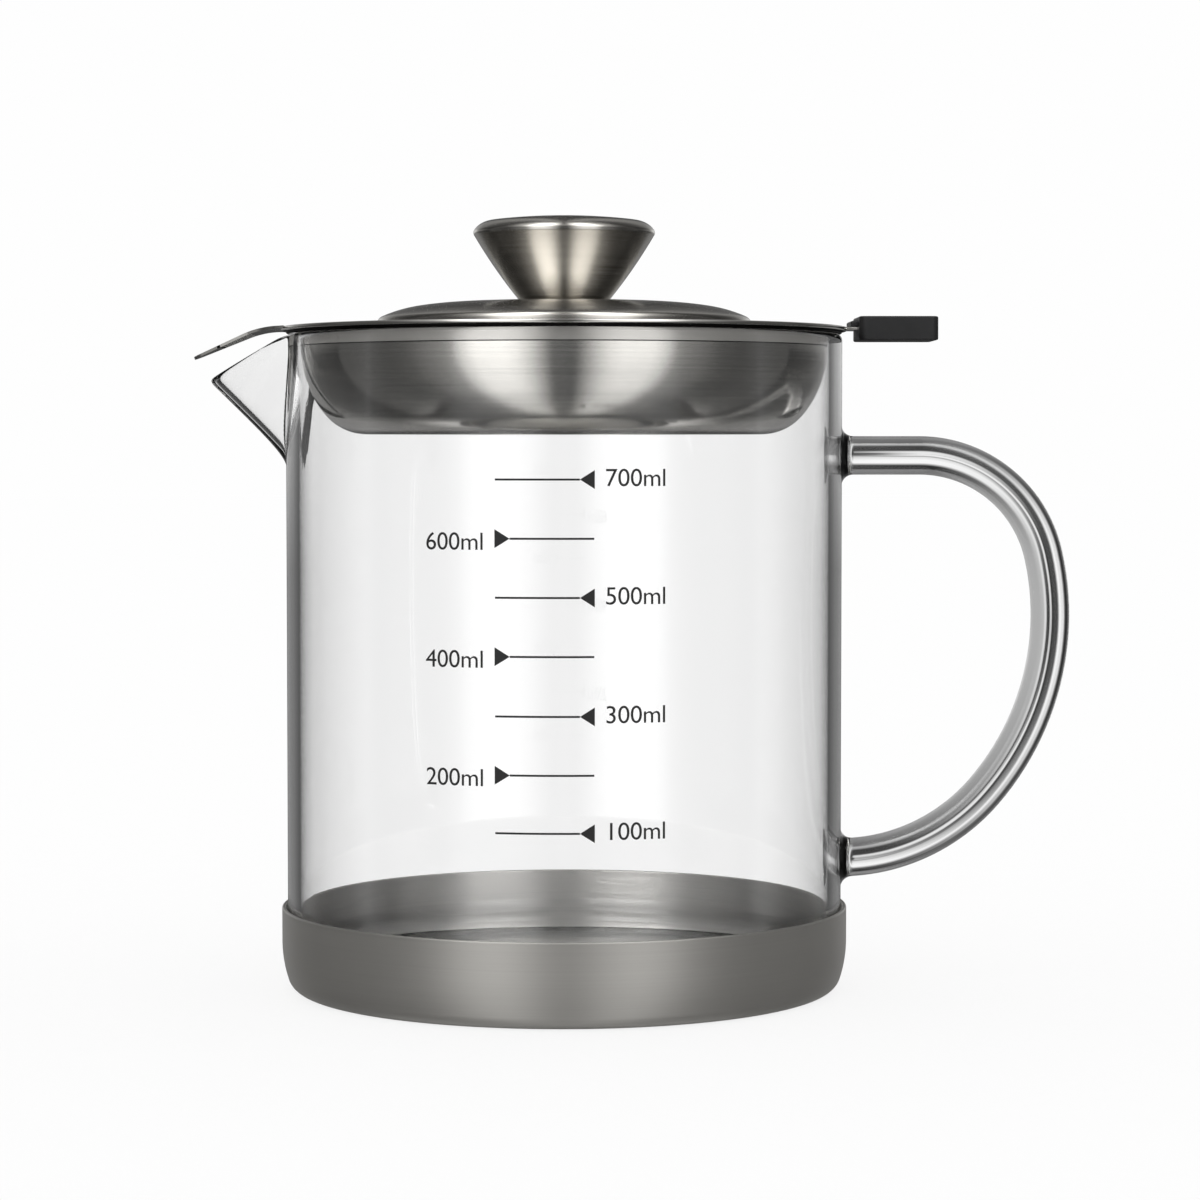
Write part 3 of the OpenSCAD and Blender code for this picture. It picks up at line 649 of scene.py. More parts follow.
def glass_line(glass, around):
    """Half section of the jug at an angle from the beak's middle, from the bottom's centre
    up the outside, over the rim and down the inside."""
    outer, inner = GLASS_R, GLASS_R - glass.wall
    foot = GLASS_LOW.z
    inside = foot + glass.floor
    beak_foot = RIM_Z - glass.beak_drop
    out_top, in_top = beak_top(glass, around, outer), beak_top(glass, around, inner)
    out_rise, in_rise = out_top - glass.rim, in_top - glass.inner_rim
    # Rows of points: up the beak, and up the plain wall below it
    rows, plain = 28, 10
    line = [(outer * i / 7, foot) for i in range(6)]
    line += arc((outer - glass.heel, foot + glass.heel), glass.heel, -90, 0)
    heel_top = foot + glass.heel
    line += [(outer, heel_top + (beak_foot - heel_top) * i / plain) for i in range(1, plain)]
    line += [beak_point(glass, around, out_rise * i / rows, outer) for i in range(rows + 1)]
    out_corner = beak_point(glass, around, out_top, outer)
    in_corner = beak_point(glass, around, in_top, inner)
    flat = mix(out_corner, in_corner, glass.rim / glass.wall)
    flat_in = mix(in_corner, out_corner, glass.inner_rim / glass.wall)
    line += rounded(line[-1], out_corner, flat)[1:]
    in_start = beak_point(glass, around, in_rise, inner)
    line += rounded(flat_in, in_corner, in_start, 10)
    line += [beak_point(glass, around, in_rise * (1 - i / rows), inner)
             for i in range(1, rows + 1)]
    heel_top = inside + glass.inner_heel
    line += [(inner, beak_foot + (heel_top - beak_foot) * i / plain) for i in range(1, plain)]
    line += arc((inner - glass.inner_heel, heel_top), glass.inner_heel, 0, -90)
    line += [(inner * (5 - i) / 7, inside) for i in range(6)]
    return line


def blow_jug(glass):
    """The blown jug: its plain section is spun about the axis, with close steps across the
    beak, and there each column is drawn out to its own section."""
    # Half the sector with close columns, and the counts of close and of wide columns
    sector, close, wide = math.radians(27), 144, 208
    plain = glass_line(glass, sector)
    piece = chain("jug_glass", [(-r * math.cos(sector), r * math.sin(sector), z)
                                for r, z in plain])
    row = piece.data.attributes.new("row", "INT", "POINT")
    spots = {(round(r / MM, 4), round(z / MM, 4)): i for i, (r, z) in enumerate(plain)}
    for i, v in enumerate(piece.data.vertices):
        key = (math.hypot(v.co.x, v.co.y) / MM, v.co.z / MM)
        nearest = min(spots, key=lambda s: (s[0] - key[0]) ** 2 + (s[1] - key[1]) ** 2)
        row.data[i].value = spots[nearest]
    edit(piece)
    turn(piece, close, -2 * sector)
    turn(piece, wide, 2 * sector - FULL_TURN)
    bpy.ops.object.mode_set(mode="OBJECT")
    lines = {}
    rows = [d.value for d in piece.data.attributes["row"].data]
    for v, j in zip(piece.data.vertices, rows):
        off = math.atan2(v.co.y, -v.co.x)
        if abs(off) > sector * 1.0001 or math.hypot(v.co.x, v.co.y) < MM / 100:
            continue
        # Towards the beak's middle the columns stand closer still
        share = off / sector
        around = sector * share * (0.45 + 0.55 * share * share)
        key = round(abs(share) * close)
        if key not in lines:
            lines[key] = glass_line(glass, abs(around))
        r, z = lines[key][j]
        v.co = (-r * math.cos(around), r * math.sin(around), z)
    piece.data.attributes.remove(piece.data.attributes["row"])
    close_up(piece)
    return piece


def bend_rod(glass):
    """The handle: a ring drawn on along the rod's bends and widened at both fused ends."""
    rod = glass.rod / 2
    upper = RIM_Z - glass.drop
    lower = upper - glass.span
    far = GLASS_R + glass.reach
    turn_sin, turn_cos = math.sin(glass.top_turn), math.cos(glass.top_turn)
    top = (far - glass.top_bend * turn_sin - glass.back_bend * (1 - turn_sin),
           upper - glass.top_bend)
    back = (top[0] - (glass.back_bend - glass.top_bend) * turn_sin,
            top[1] - (glass.back_bend - glass.top_bend) * turn_cos)
    rise = glass.top_bend * (1 - turn_cos) + glass.back_bend * turn_cos
    foot_cos = (rise + glass.foot_bend - glass.span) / (glass.back_bend - glass.foot_bend)
    foot_turn = math.acos(foot_cos)
    foot = (back[0] + (glass.back_bend - glass.foot_bend) * math.sin(foot_turn),
            back[1] + (glass.back_bend - glass.foot_bend) * foot_cos)
    root = GLASS_R - glass.wall / 2
    deselect()
    bpy.ops.mesh.primitive_circle_add(vertices=48, radius=rod, fill_type="NGON",
                                      location=(root, 0, upper), rotation=(0, RIGHT_ANGLE, 0))
    piece = name_active("handle_rod")
    settle(piece)
    edit(piece)
    bpy.ops.mesh.extrude_region_move(TRANSFORM_OT_translate={"value": (top[0] - root, 0, 0)})
    turns = [(top, 0, glass.top_turn, 30), (back, glass.top_turn, foot_turn, 24),
             (foot, foot_turn, math.pi, 24)]
    for centre, start, end, steps in turns:
        bpy.ops.mesh.spin(steps=steps, angle=start - end,
                          center=(centre[0], 0, centre[1]), axis=(0, 1, 0))
    bpy.ops.mesh.extrude_region_move(TRANSFORM_OT_translate={"value": (root - foot[0], 0, 0)})
    # Rings of points for the fused ends' rounding, nine degrees of it apart
    for step in range(11):
        cut = GLASS_R + glass.fuse * (1 - math.cos(math.radians(9 * step)))
        bpy.ops.mesh.select_all(action="SELECT")
        bpy.ops.mesh.bisect(plane_co=(cut, 0, 0), plane_no=(1, 0, 0))
    bpy.ops.object.mode_set(mode="OBJECT")
    for v in piece.data.vertices:
        x, y, z = v.co
        if x > GLASS_R + 3 * glass.fuse:
            continue
        middle = upper if z > (upper + lower) / 2 else lower
        if middle == lower and x > foot[0]:
            middle += glass.foot_bend - math.sqrt(glass.foot_bend ** 2 - (x - foot[0]) ** 2)
        near = min(glass.fuse - max(0, x - GLASS_R), glass.fuse * 0.97)
        if near > 0:
            widen = 1 + (glass.fuse - math.sqrt(glass.fuse ** 2 - near ** 2)) / rod
            y, z = y * widen, middle + (z - middle) * widen
        share = min(1, (GLASS_R + 3 * glass.fuse - x) / glass.fuse)
        v.co = (x + (math.sqrt(x ** 2 - y ** 2) - x) * share, y, z)
    close_up(piece)
    return piece


def crease_ends(piece, glass):
    """A hard edge round both fused ends, which keeps the collars' shading off the wall."""
    upper = RIM_Z - glass.drop
    ends, near, round_end = (upper, upper - glass.span), 0.03 * MM, glass.rod * 0.8

    def on_ring(spot):
        return (spot.x > 0 and abs(spot.xy.length - GLASS_R) < near
                and min(math.hypot(spot.y, spot.z - z) for z in ends) < round_end)

    for e in piece.data.edges:
        if all(on_ring(piece.data.vertices[i].co) for i in e.vertices):
            e.use_edge_sharp = True


# ---------------------------------------------------------------- operators


class JUG_OT_glass(bpy.types.Operator):
    """Blow the jug, bend its handle and fuse the two"""
    bl_idname = "jug.glass"
    bl_label = "Glass jug and handle"

    def execute(self, context):
        glass = context.scene.jug_glass
        piece = blow_jug(glass)
        weld(piece, bend_rod(glass))
        close_up(piece, 1e-6)
        smooth(piece, 40)
        crease_ends(piece, glass)
        dress(piece, "jug", blown_glass("Borosilicate glass, blown"),
              ["glass_body", "glass_handle"])
        drawn = blown_glass("Borosilicate glass, drawn and fire-polished", 0.012)
        piece.data.materials.append(drawn)
        for face in piece.data.polygons:
            r = face.center.xy.length
            off_wall = min(abs(r - GLASS_R), abs(r - GLASS_R + glass.wall))
            face.material_index = int(off_wall >= 0.05 * MM or abs(face.normal.z) > 0.05)
        return {"FINISHED"}


class JUG_OT_cup(bpy.types.Operator):
    """Spin the base cup from sheet and finish the seat ring inside it"""
    bl_idname = "jug.cup"
    bl_label = "Base cup"

    def execute(self, context):
        scene = context.scene
        cup = scene.jug_cup
        outer, top = CUP_HIGH.x, CUP_HIGH.z
        turn_deg = math.degrees(cup.turn)
        long = cup.side - cup.corner
        corner_r = outer - cup.side + long * math.cos(cup.turn)
        curve_z = cup.corner + long * math.sin(cup.turn)
        # The recess ends in a soft step, as wide as this on each side of its middle
        flat = corner_r - cup.ring
        step = 1.2 * MM

        def line(inset):
            low = [(0, cup.recess + inset), (flat - 2 * step, cup.recess + inset)]
            low += rounded((flat - step, cup.recess + inset),
                           (flat - step / 2, cup.recess + inset),
                           (flat, cup.recess / 2 + inset), 4)
            low += rounded((flat, cup.recess / 2 + inset), (flat + step / 2, inset),
                           (flat + step, inset), 4)[1:]
            low += arc((corner_r, cup.corner), cup.corner - inset, -90, -turn_deg, 16)
            return low + arc((outer - cup.side, curve_z), cup.side - inset, -turn_deg, 0, 16)[1:]

        section = line(0)
        section += arc((outer - cup.lip, top - cup.lip), cup.lip, 0, 90, 8)
        section += arc((outer - cup.sheet + cup.lip, top - cup.lip), cup.lip, 90, 180, 8)
        section += reversed(line(cup.sheet))
        piece = turned("cup_brushed", section)
        finish = brushed_steel("Stainless steel, brushed matt", scene.jug_finish.cup, CUP_BRUSH)
        dress(piece, "jug", finish, ["base_cup"])
        # The inside gets a near-white copy of the steel: partly its shinier finish, partly
        # painted light
        piece.data.materials.append(brushed_steel(
            "Stainless steel, cup inside, lightened as painted light", scene.jug_finish.inside, INSIDE_BRUSH))
        for face in piece.data.polygons:
            middle = face.center
            outward = face.normal.x * middle.x + face.normal.y * middle.y
            floor = face.normal.z > 0.5 and middle.z < top / 2
            face.material_index = int(outward < -0.3 * middle.xy.length or floor)
        refinish(moulded_silicone("Silicone, milky", scene.jug_finish.ring, 0.45, 0.15),
                 "seat_ring")
        return {"FINISHED"}


class JUG_OT_strainer(bpy.types.Operator):
    """Press the strainer from one sheet: bowl, rim bend, folded flange, tongue and tab"""
    bl_idname = "jug.strainer"
    bl_label = "Strainer"

    def execute(self, context):
        scene = context.scene
        s = scene.jug_strainer
        bowl_r = GLASS_R - scene.jug_glass.wall - s.gap
        low = BOWL_LOW.z
        brim = GLASS_R + s.over
        hem_z = RIM_Z + s.hem_lift
        top = hem_z + s.hem_h
        turn_deg = math.degrees(s.turn)
        long = s.side - s.corner
        corner_r = bowl_r - s.side + long * math.sin(s.turn)
        curve_z = low + s.corner + long * math.cos(s.turn)
        band_z, shadow_line_h = RIM_Z - s.band, 0.22 * MM

        def line(inset):
            points = [(s.mesh_open, low + inset)]
            points += arc((corner_r, low + s.corner), s.corner - inset, -90, turn_deg - 90, 16)
            points += arc((bowl_r - s.side, curve_z), s.side - inset, turn_deg - 90, 0, 20)[1:]
            # Two rings bound the fine strip that gets near-black steel as a painted shadow line
            points += [(bowl_r - inset, band_z - shadow_line_h), (bowl_r - inset, band_z)]
            return points + arc((bowl_r + s.rim_bend, RIM_Z - s.rim_bend),
                                s.rim_bend + inset, 180, 90, 14)

        hem_in, edge = brim - s.hem, s.hem_h / 2
        section = line(0)
        section += rounded((hem_in - s.sheet / 2, RIM_Z), (hem_in + s.sheet, RIM_Z),
                           (hem_in + s.sheet, hem_z), 6)
        section += arc((brim - edge, hem_z + edge), edge, -90, 90, 14)
        section += rounded((hem_in + edge / 2, top), (hem_in, top), (hem_in, top - edge / 2), 5)
        section += rounded((hem_in, RIM_Z + s.sheet * 1.5), (hem_in, RIM_Z + s.sheet),
                           (hem_in - s.sheet, RIM_Z + s.sheet), 5)
        section += reversed(line(s.sheet))
        section.append(section[0])
        piece = turned("strainer_pressed", section)
        weld(piece, press_tongue(s, brim, top))
        weld(piece, press_tab(s, brim, top))
        close_up(piece, 1e-6)
        smooth(piece, 35)
        finish = brushed_steel("Stainless steel, drawn and brushed", scene.jug_finish.strainer,
                               BOWL_BRUSH)
        dress(piece, "strainer", finish, ["strainer_bowl"])
        # Near-black steel as painted shade for the fold under the flange and the fine line
        piece.data.materials.append(plain_steel("Stainless steel, near black as painted shade",
                                                linear(PAINTED_SHADE_STEEL), 0.6))
        # A lighter, less metallic copy of the strainer's steel is a painted highlight under the
        # flange
        piece.data.materials.append(brushed_steel(
            "Stainless steel, lighter band as painted highlight", scene.jug_finish.strainer, HIGHLIGHT_BAND_BRUSH))
        hair = 0.03 * MM
        for face in piece.data.polygons:
            middle, normal = face.center, face.normal
            r = middle.xy.length
            if r <= bowl_r - s.sheet / 2:
                continue
            # The fold under the flange and the fine line below the band are painted shade
            in_fold_shade = (hem_in < r < brim - edge * 0.9 and normal.z < 0.5
                       and RIM_Z + hair < middle.z < hem_z + hair)
            outside = normal.xy.dot(middle.xy) > 0 or normal.z < -0.3
            # The band under the flange gets the lighter copy as a painted highlight
            in_highlight_band = outside and band_z < middle.z < RIM_Z + hair
            in_shadow_line = outside and band_z - shadow_line_h < middle.z < band_z
            face.material_index = 1 if in_fold_shade or in_shadow_line else 2 if in_highlight_band else 0
        return {"FINISHED"}


def press_tongue(s, brim, top):
    """The tongue over the spout: a grid narrowed to its plan, bent down and given a sheet's
    thickness."""
    root_x, tip_x = brim - s.hem, brim + s.tongue_reach
    deselect()
    bpy.ops.mesh.primitive_grid_add(x_subdivisions=64, y_subdivisions=16, size=2)
    piece = name_active("tongue")
    tip = tip_x - s.tongue_tip
    run = (tip - root_x, s.tongue_root / 2)
    taper = math.atan2(run[1], run[0]) - math.asin(s.tongue_tip / math.hypot(*run))
    touch = tip + s.tongue_tip * math.sin(taper)
    bend_end = brim + s.tongue_bend * math.sin(s.tongue_angle)
    drop = s.tongue_bend * (1 - math.cos(s.tongue_angle))

    def half_width(x):
        if x > touch:
            return math.sqrt(max(0, s.tongue_tip ** 2 - (x - tip) ** 2))
        width = s.tongue_tip * math.cos(taper) + (touch - x) * math.tan(taper)
        near = max(0, 1 - (x - brim) / s.tongue_fillet)
        return width + s.tongue_fillet / 2 * near * near

    for v in piece.data.vertices:
        share = (v.co.x + 1) / 2
        x = root_x + (tip_x - root_x) * math.sin(share * RIGHT_ANGLE)
        if x <= brim:
            z = top
        elif x < bend_end:
            z = top - s.tongue_bend + math.sqrt(s.tongue_bend ** 2 - (x - brim) ** 2)
        else:
            z = top - drop - (x - bend_end) * math.tan(s.tongue_angle)
        v.co = (-x, v.co.y * half_width(x), z)
    close_up(piece)
    edit(piece)
    if piece.data.polygons[0].normal.z < 0:
        bpy.ops.mesh.flip_normals()
    with_modifier(piece, "SOLIDIFY", thickness=s.sheet, offset=-1)
    return piece


def press_tab(s, brim, top):
    """The steel tab that the grip is moulded onto."""
    start, end = brim - s.hem / 2, GRIP_LOW.x + s.tab_in
    piece = block("tab", ((start + end) / 2, 0, top - s.sheet / 2),
                  (end - start, s.tab, s.sheet))
    with_modifier(piece, "BEVEL", width=0.1 * MM, segments=2)
    return piece


class JUG_OT_net(bpy.types.Operator):
    """Weave the net from wires and clamp it with its ring"""
    bl_idname = "jug.net"
    bl_label = "Net and clamping ring"

    def execute(self, context):
        scene = context.scene
        s = scene.jug_strainer
        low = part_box("strainer_mesh")[0].z
        # The wires end a little inside the ring's outer edge
        reach = s.mesh_open + s.clamp - 0.4 * MM
        middle = low + s.wire
        count = int(reach / s.pitch)
        curve = bpy.data.curves.new("net_woven", "CURVE")
        curve.dimensions = "3D"
        curve.bevel_depth = s.wire / 2
        curve.bevel_resolution = 0
        curve.use_fill_caps = True
        for side in (0, 1):
            for i in range(-count, count + 1):
                across = i * s.pitch
                half = math.sqrt(reach ** 2 - across ** 2)
                steps = int(half / (s.pitch / 2))
                spline = curve.splines.new("POLY")
                spline.points.add(2 * steps)
                for k in range(-steps, steps + 1):
                    lift = math.cos(math.pi * (k / 2 + i + side)) * s.wire * 0.52
                    spot = (k * s.pitch / 2, across) if side else (across, k * s.pitch / 2)
                    spline.points[k + steps].co = (*spot, middle + lift, 1)
        piece = bpy.data.objects.new("net_woven", curve)
        scene.collection.objects.link(piece)
        take(piece)
        bpy.ops.object.convert(target="MESH")
        piece = bpy.context.object
        smooth(piece, 60)
        wire = plain_steel("Stainless steel wire, woven", scene.jug_finish.wire, 0.3)
        dress(piece, "strainer", wire, ["strainer_mesh"])
        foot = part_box("mesh_ring")[0].z
        inner, outer, edge = s.mesh_open, s.mesh_open + s.clamp, 0.18 * MM
        top = foot + s.clamp_t
        corners = [(outer - edge, foot + edge), (outer - edge, top - edge),
                   (inner + edge, top - edge), (inner + edge, foot + edge)]
        section = [(inner + edge, foot)]
        for i, corner in enumerate(corners):
            section += arc(corner, edge, 90 * i - 90, 90 * i, 4)
        ring = turned("net_ring", section, 192)
        steel = brushed_steel("Stainless steel ring, stamped", scene.jug_finish.strainer,
                              RING_BRUSH)
        dress(ring, "strainer", steel, ["mesh_ring"])
        return {"FINISHED"}


class JUG_OT_grip(bpy.types.Operator):
    """Mould the black grip with its shoulder over the tab"""
    bl_idname = "jug.grip"
    bl_label = "Grip"

    def execute(self, context):
        scene = context.scene
        g = scene.jug_grip
        s = scene.jug_strainer
        flange = RIM_Z + s.hem_lift + s.hem_h
        thick = 2 * (flange - s.sheet / 2 - GRIP_LOW.z)
        start = GRIP_LOW.x + g.shoulder
        piece = block("grip_moulded", ((start + GRIP_HIGH.x) / 2, 0, flange - s.sheet / 2),
                      (GRIP_HIGH.x - start, GRIP_HIGH.y * 2, thick))
        edit(piece)
        bpy.ops.mesh.select_mode(type="EDGE")
        bpy.ops.mesh.select_all(action="DESELECT")
        bpy.ops.object.mode_set(mode="OBJECT")
        for e in piece.data.edges:
            a, b = (piece.data.vertices[i].co for i in e.vertices)
            e.select = abs(a.z - b.z) > thick / 2
        bpy.ops.object.mode_set(mode="EDIT")
        bpy.ops.mesh.bevel(offset=g.corner, segments=10, affect="EDGES")
        bpy.ops.mesh.select_mode(type="VERT")
        bpy.ops.object.mode_set(mode="OBJECT")
        with_modifier(piece, "BEVEL", width=g.edge, segments=6, limit_method="ANGLE",
                      angle_limit=math.radians(50))
        long = g.shoulder + (GRIP_HIGH.x - start) / 2
        shoulder = block("shoulder", (GRIP_LOW.x + long / 2, 0, flange + g.shoulder_h / 2),
                         (long, s.tab, g.shoulder_h))
        for v in shoulder.data.vertices:
            if v.co.x < start and v.co.z > flange + g.shoulder_h / 2:
                v.co.z -= g.shoulder_h / 4
        with_modifier(shoulder, "BEVEL", width=0.35 * MM, segments=4)
        weld(piece, shoulder)
        smooth(piece, 40)
        rubber = moulded_silicone("Silicone, black, moulded", scene.jug_finish.grip, 0.5)
        dress(piece, "strainer", rubber, ["strainer_grip"])
        return {"FINISHED"}


class JUG_OT_lid(bpy.types.Operator):
    """Spin the lid, turn its knob and finish the screw and washer"""
    bl_idname = "jug.lid"
    bl_label = "Lid and knob"

    def execute(self, context):
        scene = context.scene
        lid = scene.jug_lid
        dome_top = KNOB_LOW.z
        brim_z = LID_LOW.z
        hole = 2.1 * MM
        start = lid.knob_foot + MM
        curves = DOME_ARCS + [(LAST_ARC, math.degrees(lid.side))]
        run = drop = slope = 0
        for r, after in curves:
            a, b = math.radians(slope), math.radians(after)
            run += r * (math.sin(b) - math.sin(a))
            drop += r * (math.cos(a) - math.cos(b))
            slope = after
        side_sin, side_cos = math.sin(lid.side), math.cos(lid.side)
        want_drop = lid.dome_h - lid.fillet * (1 - side_cos)
        scale = ((lid.dome - start) * side_sin - want_drop * side_cos) / (
            run * side_sin - drop * side_cos)

        def line(inset):
            points = [(hole, dome_top - inset)]
            spot, slope = (start, dome_top), 0
            for r, after in curves:
                a, b = math.radians(slope), math.radians(after)
                centre = (spot[0] - r * scale * math.sin(a), spot[1] - r * scale * math.cos(a))
                points += arc(centre, r * scale - inset, 90 - slope, 90 - after, 12)
                spot = (centre[0] + r * scale * math.sin(b), centre[1] + r * scale * math.cos(b))
                slope = after
            foot = (lid.dome + lid.fillet * side_sin, brim_z + lid.sheet + lid.fillet)
            return points + arc(foot, lid.fillet + inset, 270 - slope, 270, 10)

        top = brim_z + lid.sheet
        edge = lid.sheet * 0.3
        section = line(0)
        section += arc((LID_HIGH.x - edge, top - edge), edge, 90, 0, 4)
        section += arc((LID_HIGH.x - edge, brim_z + edge), edge, 0, -90, 4)
        section += reversed(line(lid.sheet))
        section.append(section[0])
        plate = turned("lid_spun", section)
        spun = brushed_steel("Stainless steel, spun satin", scene.jug_finish.lid, LID_BRUSH)
        dress(plate, "lid", spun, ["lid_plate"])

        wide = KNOB_HIGH.x
        foot = (lid.knob_foot, dome_top)
        rim = (wide - lid.edge, KNOB_HIGH.z - lid.crown)
        side = (rim[0] - foot[0], rim[1] - foot[1])
        lean = math.atan2(side[0], side[1]) + math.atan(4 * lid.bulge / math.hypot(*side))
        end = (rim[0] + lid.edge * math.cos(lean), rim[1] - lid.edge * math.sin(lean))
        along = (end[0] - foot[0], end[1] - foot[1])
        length = math.hypot(*along)
        section = [(0, dome_top), (foot[0] - 0.4 * MM, dome_top)]
        for i in range(1, 25):
            t = i / 24
            out = lid.bulge * 4 * t * (1 - t)
            section.append((foot[0] + along[0] * t + along[1] / length * out,
                            foot[1] + along[1] * t - along[0] / length * out))
        # The crown has a round shoulder that runs into a nearly flat middle
        begin, level_off = math.radians(lid.shoulder), math.radians(LEVEL_OFF)
        spot = (rim[0] + lid.edge * math.cos(begin), rim[1] + lid.edge * math.sin(begin))
        flat_rise = (1 - math.sin(level_off)) / math.cos(level_off)
        shoulder = (KNOB_HIGH.z - spot[1] - flat_rise * spot[0]) / (
            math.sin(level_off) - math.sin(begin)
            - flat_rise * (math.cos(begin) - math.cos(level_off)))
        centre = (spot[0] - shoulder * math.cos(begin), spot[1] - shoulder * math.sin(begin))
        crown_r = (centre[0] + shoulder * math.cos(level_off)) / math.cos(level_off)
        section += arc(rim, lid.edge, -math.degrees(lean), lid.shoulder, 12)[1:]
        section += arc(centre, shoulder, lid.shoulder, LEVEL_OFF, 14)[1:]
        section += arc((0, KNOB_HIGH.z - crown_r), crown_r, LEVEL_OFF, 90, 16)[1:]
        knob = turned("knob_turned", section, 192)
        satin = brushed_steel("Stainless steel, turned satin", scene.jug_finish.lid, KNOB_BRUSH)
        dress(knob, "lid", satin, ["lid_knob"])
        refinish(plain_steel("Stainless steel, tumbled", scene.jug_finish.wire, 0.25),
                 "knob_screw", "knob_washer")
        return {"FINISHED"}


class JUG_OT_scale(bpy.types.Operator):
    """Print the volume scale on the front of the glass"""
    bl_idname = "jug.scale"
    bl_label = "Printed scale"

    def execute(self, context):
        scene = context.scene
        p = scene.jug_scale
        parts = []
        proud = INK_PROUD * MM
        for i in range(p.count):
            height = p.first + i * p.step - (LOW_BY * MM if i in LOW_MARKS else 0)
            mark = LEFT_MARK if i % 2 else RIGHT_MARK
            start, end = mark["line"]
            deselect()
            bpy.ops.mesh.primitive_grid_add(x_subdivisions=24, y_subdivisions=1, size=1)
            bar = name_active("bar")
            bar.scale = ((end - start) * MM, p.line_w, 1)
            bar.location = ((start + end) / 2 * MM, height, 0)
            settle(bar)
            bpy.ops.mesh.primitive_circle_add(vertices=3, radius=1, fill_type="TRIFAN")
            arrow = name_active("arrow")
            take(arrow)
            tip, base = mark["tip"], mark["base"]
            corners = [(tip, 0), (base, ARROW_HALF), (base, -ARROW_HALF),
                       ((tip + 2 * base) / 3, 0)]
            order = sorted(arrow.data.vertices, key=lambda v: v.co.length < 0.1)
            for v, (x, y) in zip(order, corners):
                v.co = (x * MM, height + y * MM, 0)
            bpy.ops.object.text_add()
            text = name_active("label")
            text.data.body = "%d00ml" % (i + 1)
            text.data.size = p.digit * FONT_SIZE
            text.data.align_x = mark["align"]
            text.data.space_character = 0.98
            text.scale = (1.04, 1, 1)
            text.location = (mark["label"] * MM, height - mark["down"] * MM, 0)
            bpy.ops.object.convert(target="MESH")
            text = bpy.context.object
            settle(text)
            parts += [bar, arrow, text]
        deselect()
        for part in parts:
            part.select_set(True)
        bpy.context.view_layer.objects.active = parts[0]
        bpy.ops.object.join()
        piece = name_active("volume_scale")
        close_up(piece, 1e-6)
        with_modifier(piece, "SOLIDIFY", thickness=proud, offset=0)
        for v in piece.data.vertices:
            r = GLASS_R + proud / 2 + v.co.z
            a = v.co.x / GLASS_R
            v.co = (r * math.sin(a), -r * math.cos(a), v.co.y)
        dress(piece, "jug", fired_ink("Ceramic ink, fired", scene.jug_finish.ink))
        return {"FINISHED"}


class JUG_OT_stage(bpy.types.Operator):
    """Set the floor, the studio and the camera"""
    bl_idname = "jug.stage"
    bl_label = "Studio"

    def execute(self, context):
        scene = context.scene
        deselect()
        bpy.ops.mesh.primitive_plane_add(size=12, location=(0, 0, -0.02 * MM))
        floor = name_active("studio_floor")
        settle(floor)
        floor.data.materials.append(studio_floor("Background paper", scene.jug_finish.floor))
        light_studio(scene)
        bpy.ops.object.camera_add(
            location=[c * MM for c in CAMERA_PLACE],
            rotation=(math.radians(90 - CAMERA_DOWN), 0, math.radians(-CAMERA_ASIDE)))
        camera = name_active("camera")
        camera.data.sensor_width = CAMERA_SENSOR
        camera.data.lens = CAMERA_LENS
        camera.data.clip_start = 0.01
        scene.camera = camera
        scene.view_settings.view_transform = "Standard"
        return {"FINISHED"}


def stops(tree, value, table):
    """A grey ramp through a table of positions and levels."""
    ramp = add_node(tree, "ValToRGB", {"Fac": value})
    elements = ramp.color_ramp.elements
    elements.remove(elements[1])
    elements[0].position, elements[0].color = table[0][0], grey(table[0][1])
    for place, level in table[1:]:
        elements.new(place).color = grey(level)
    return ramp.outputs["Color"]


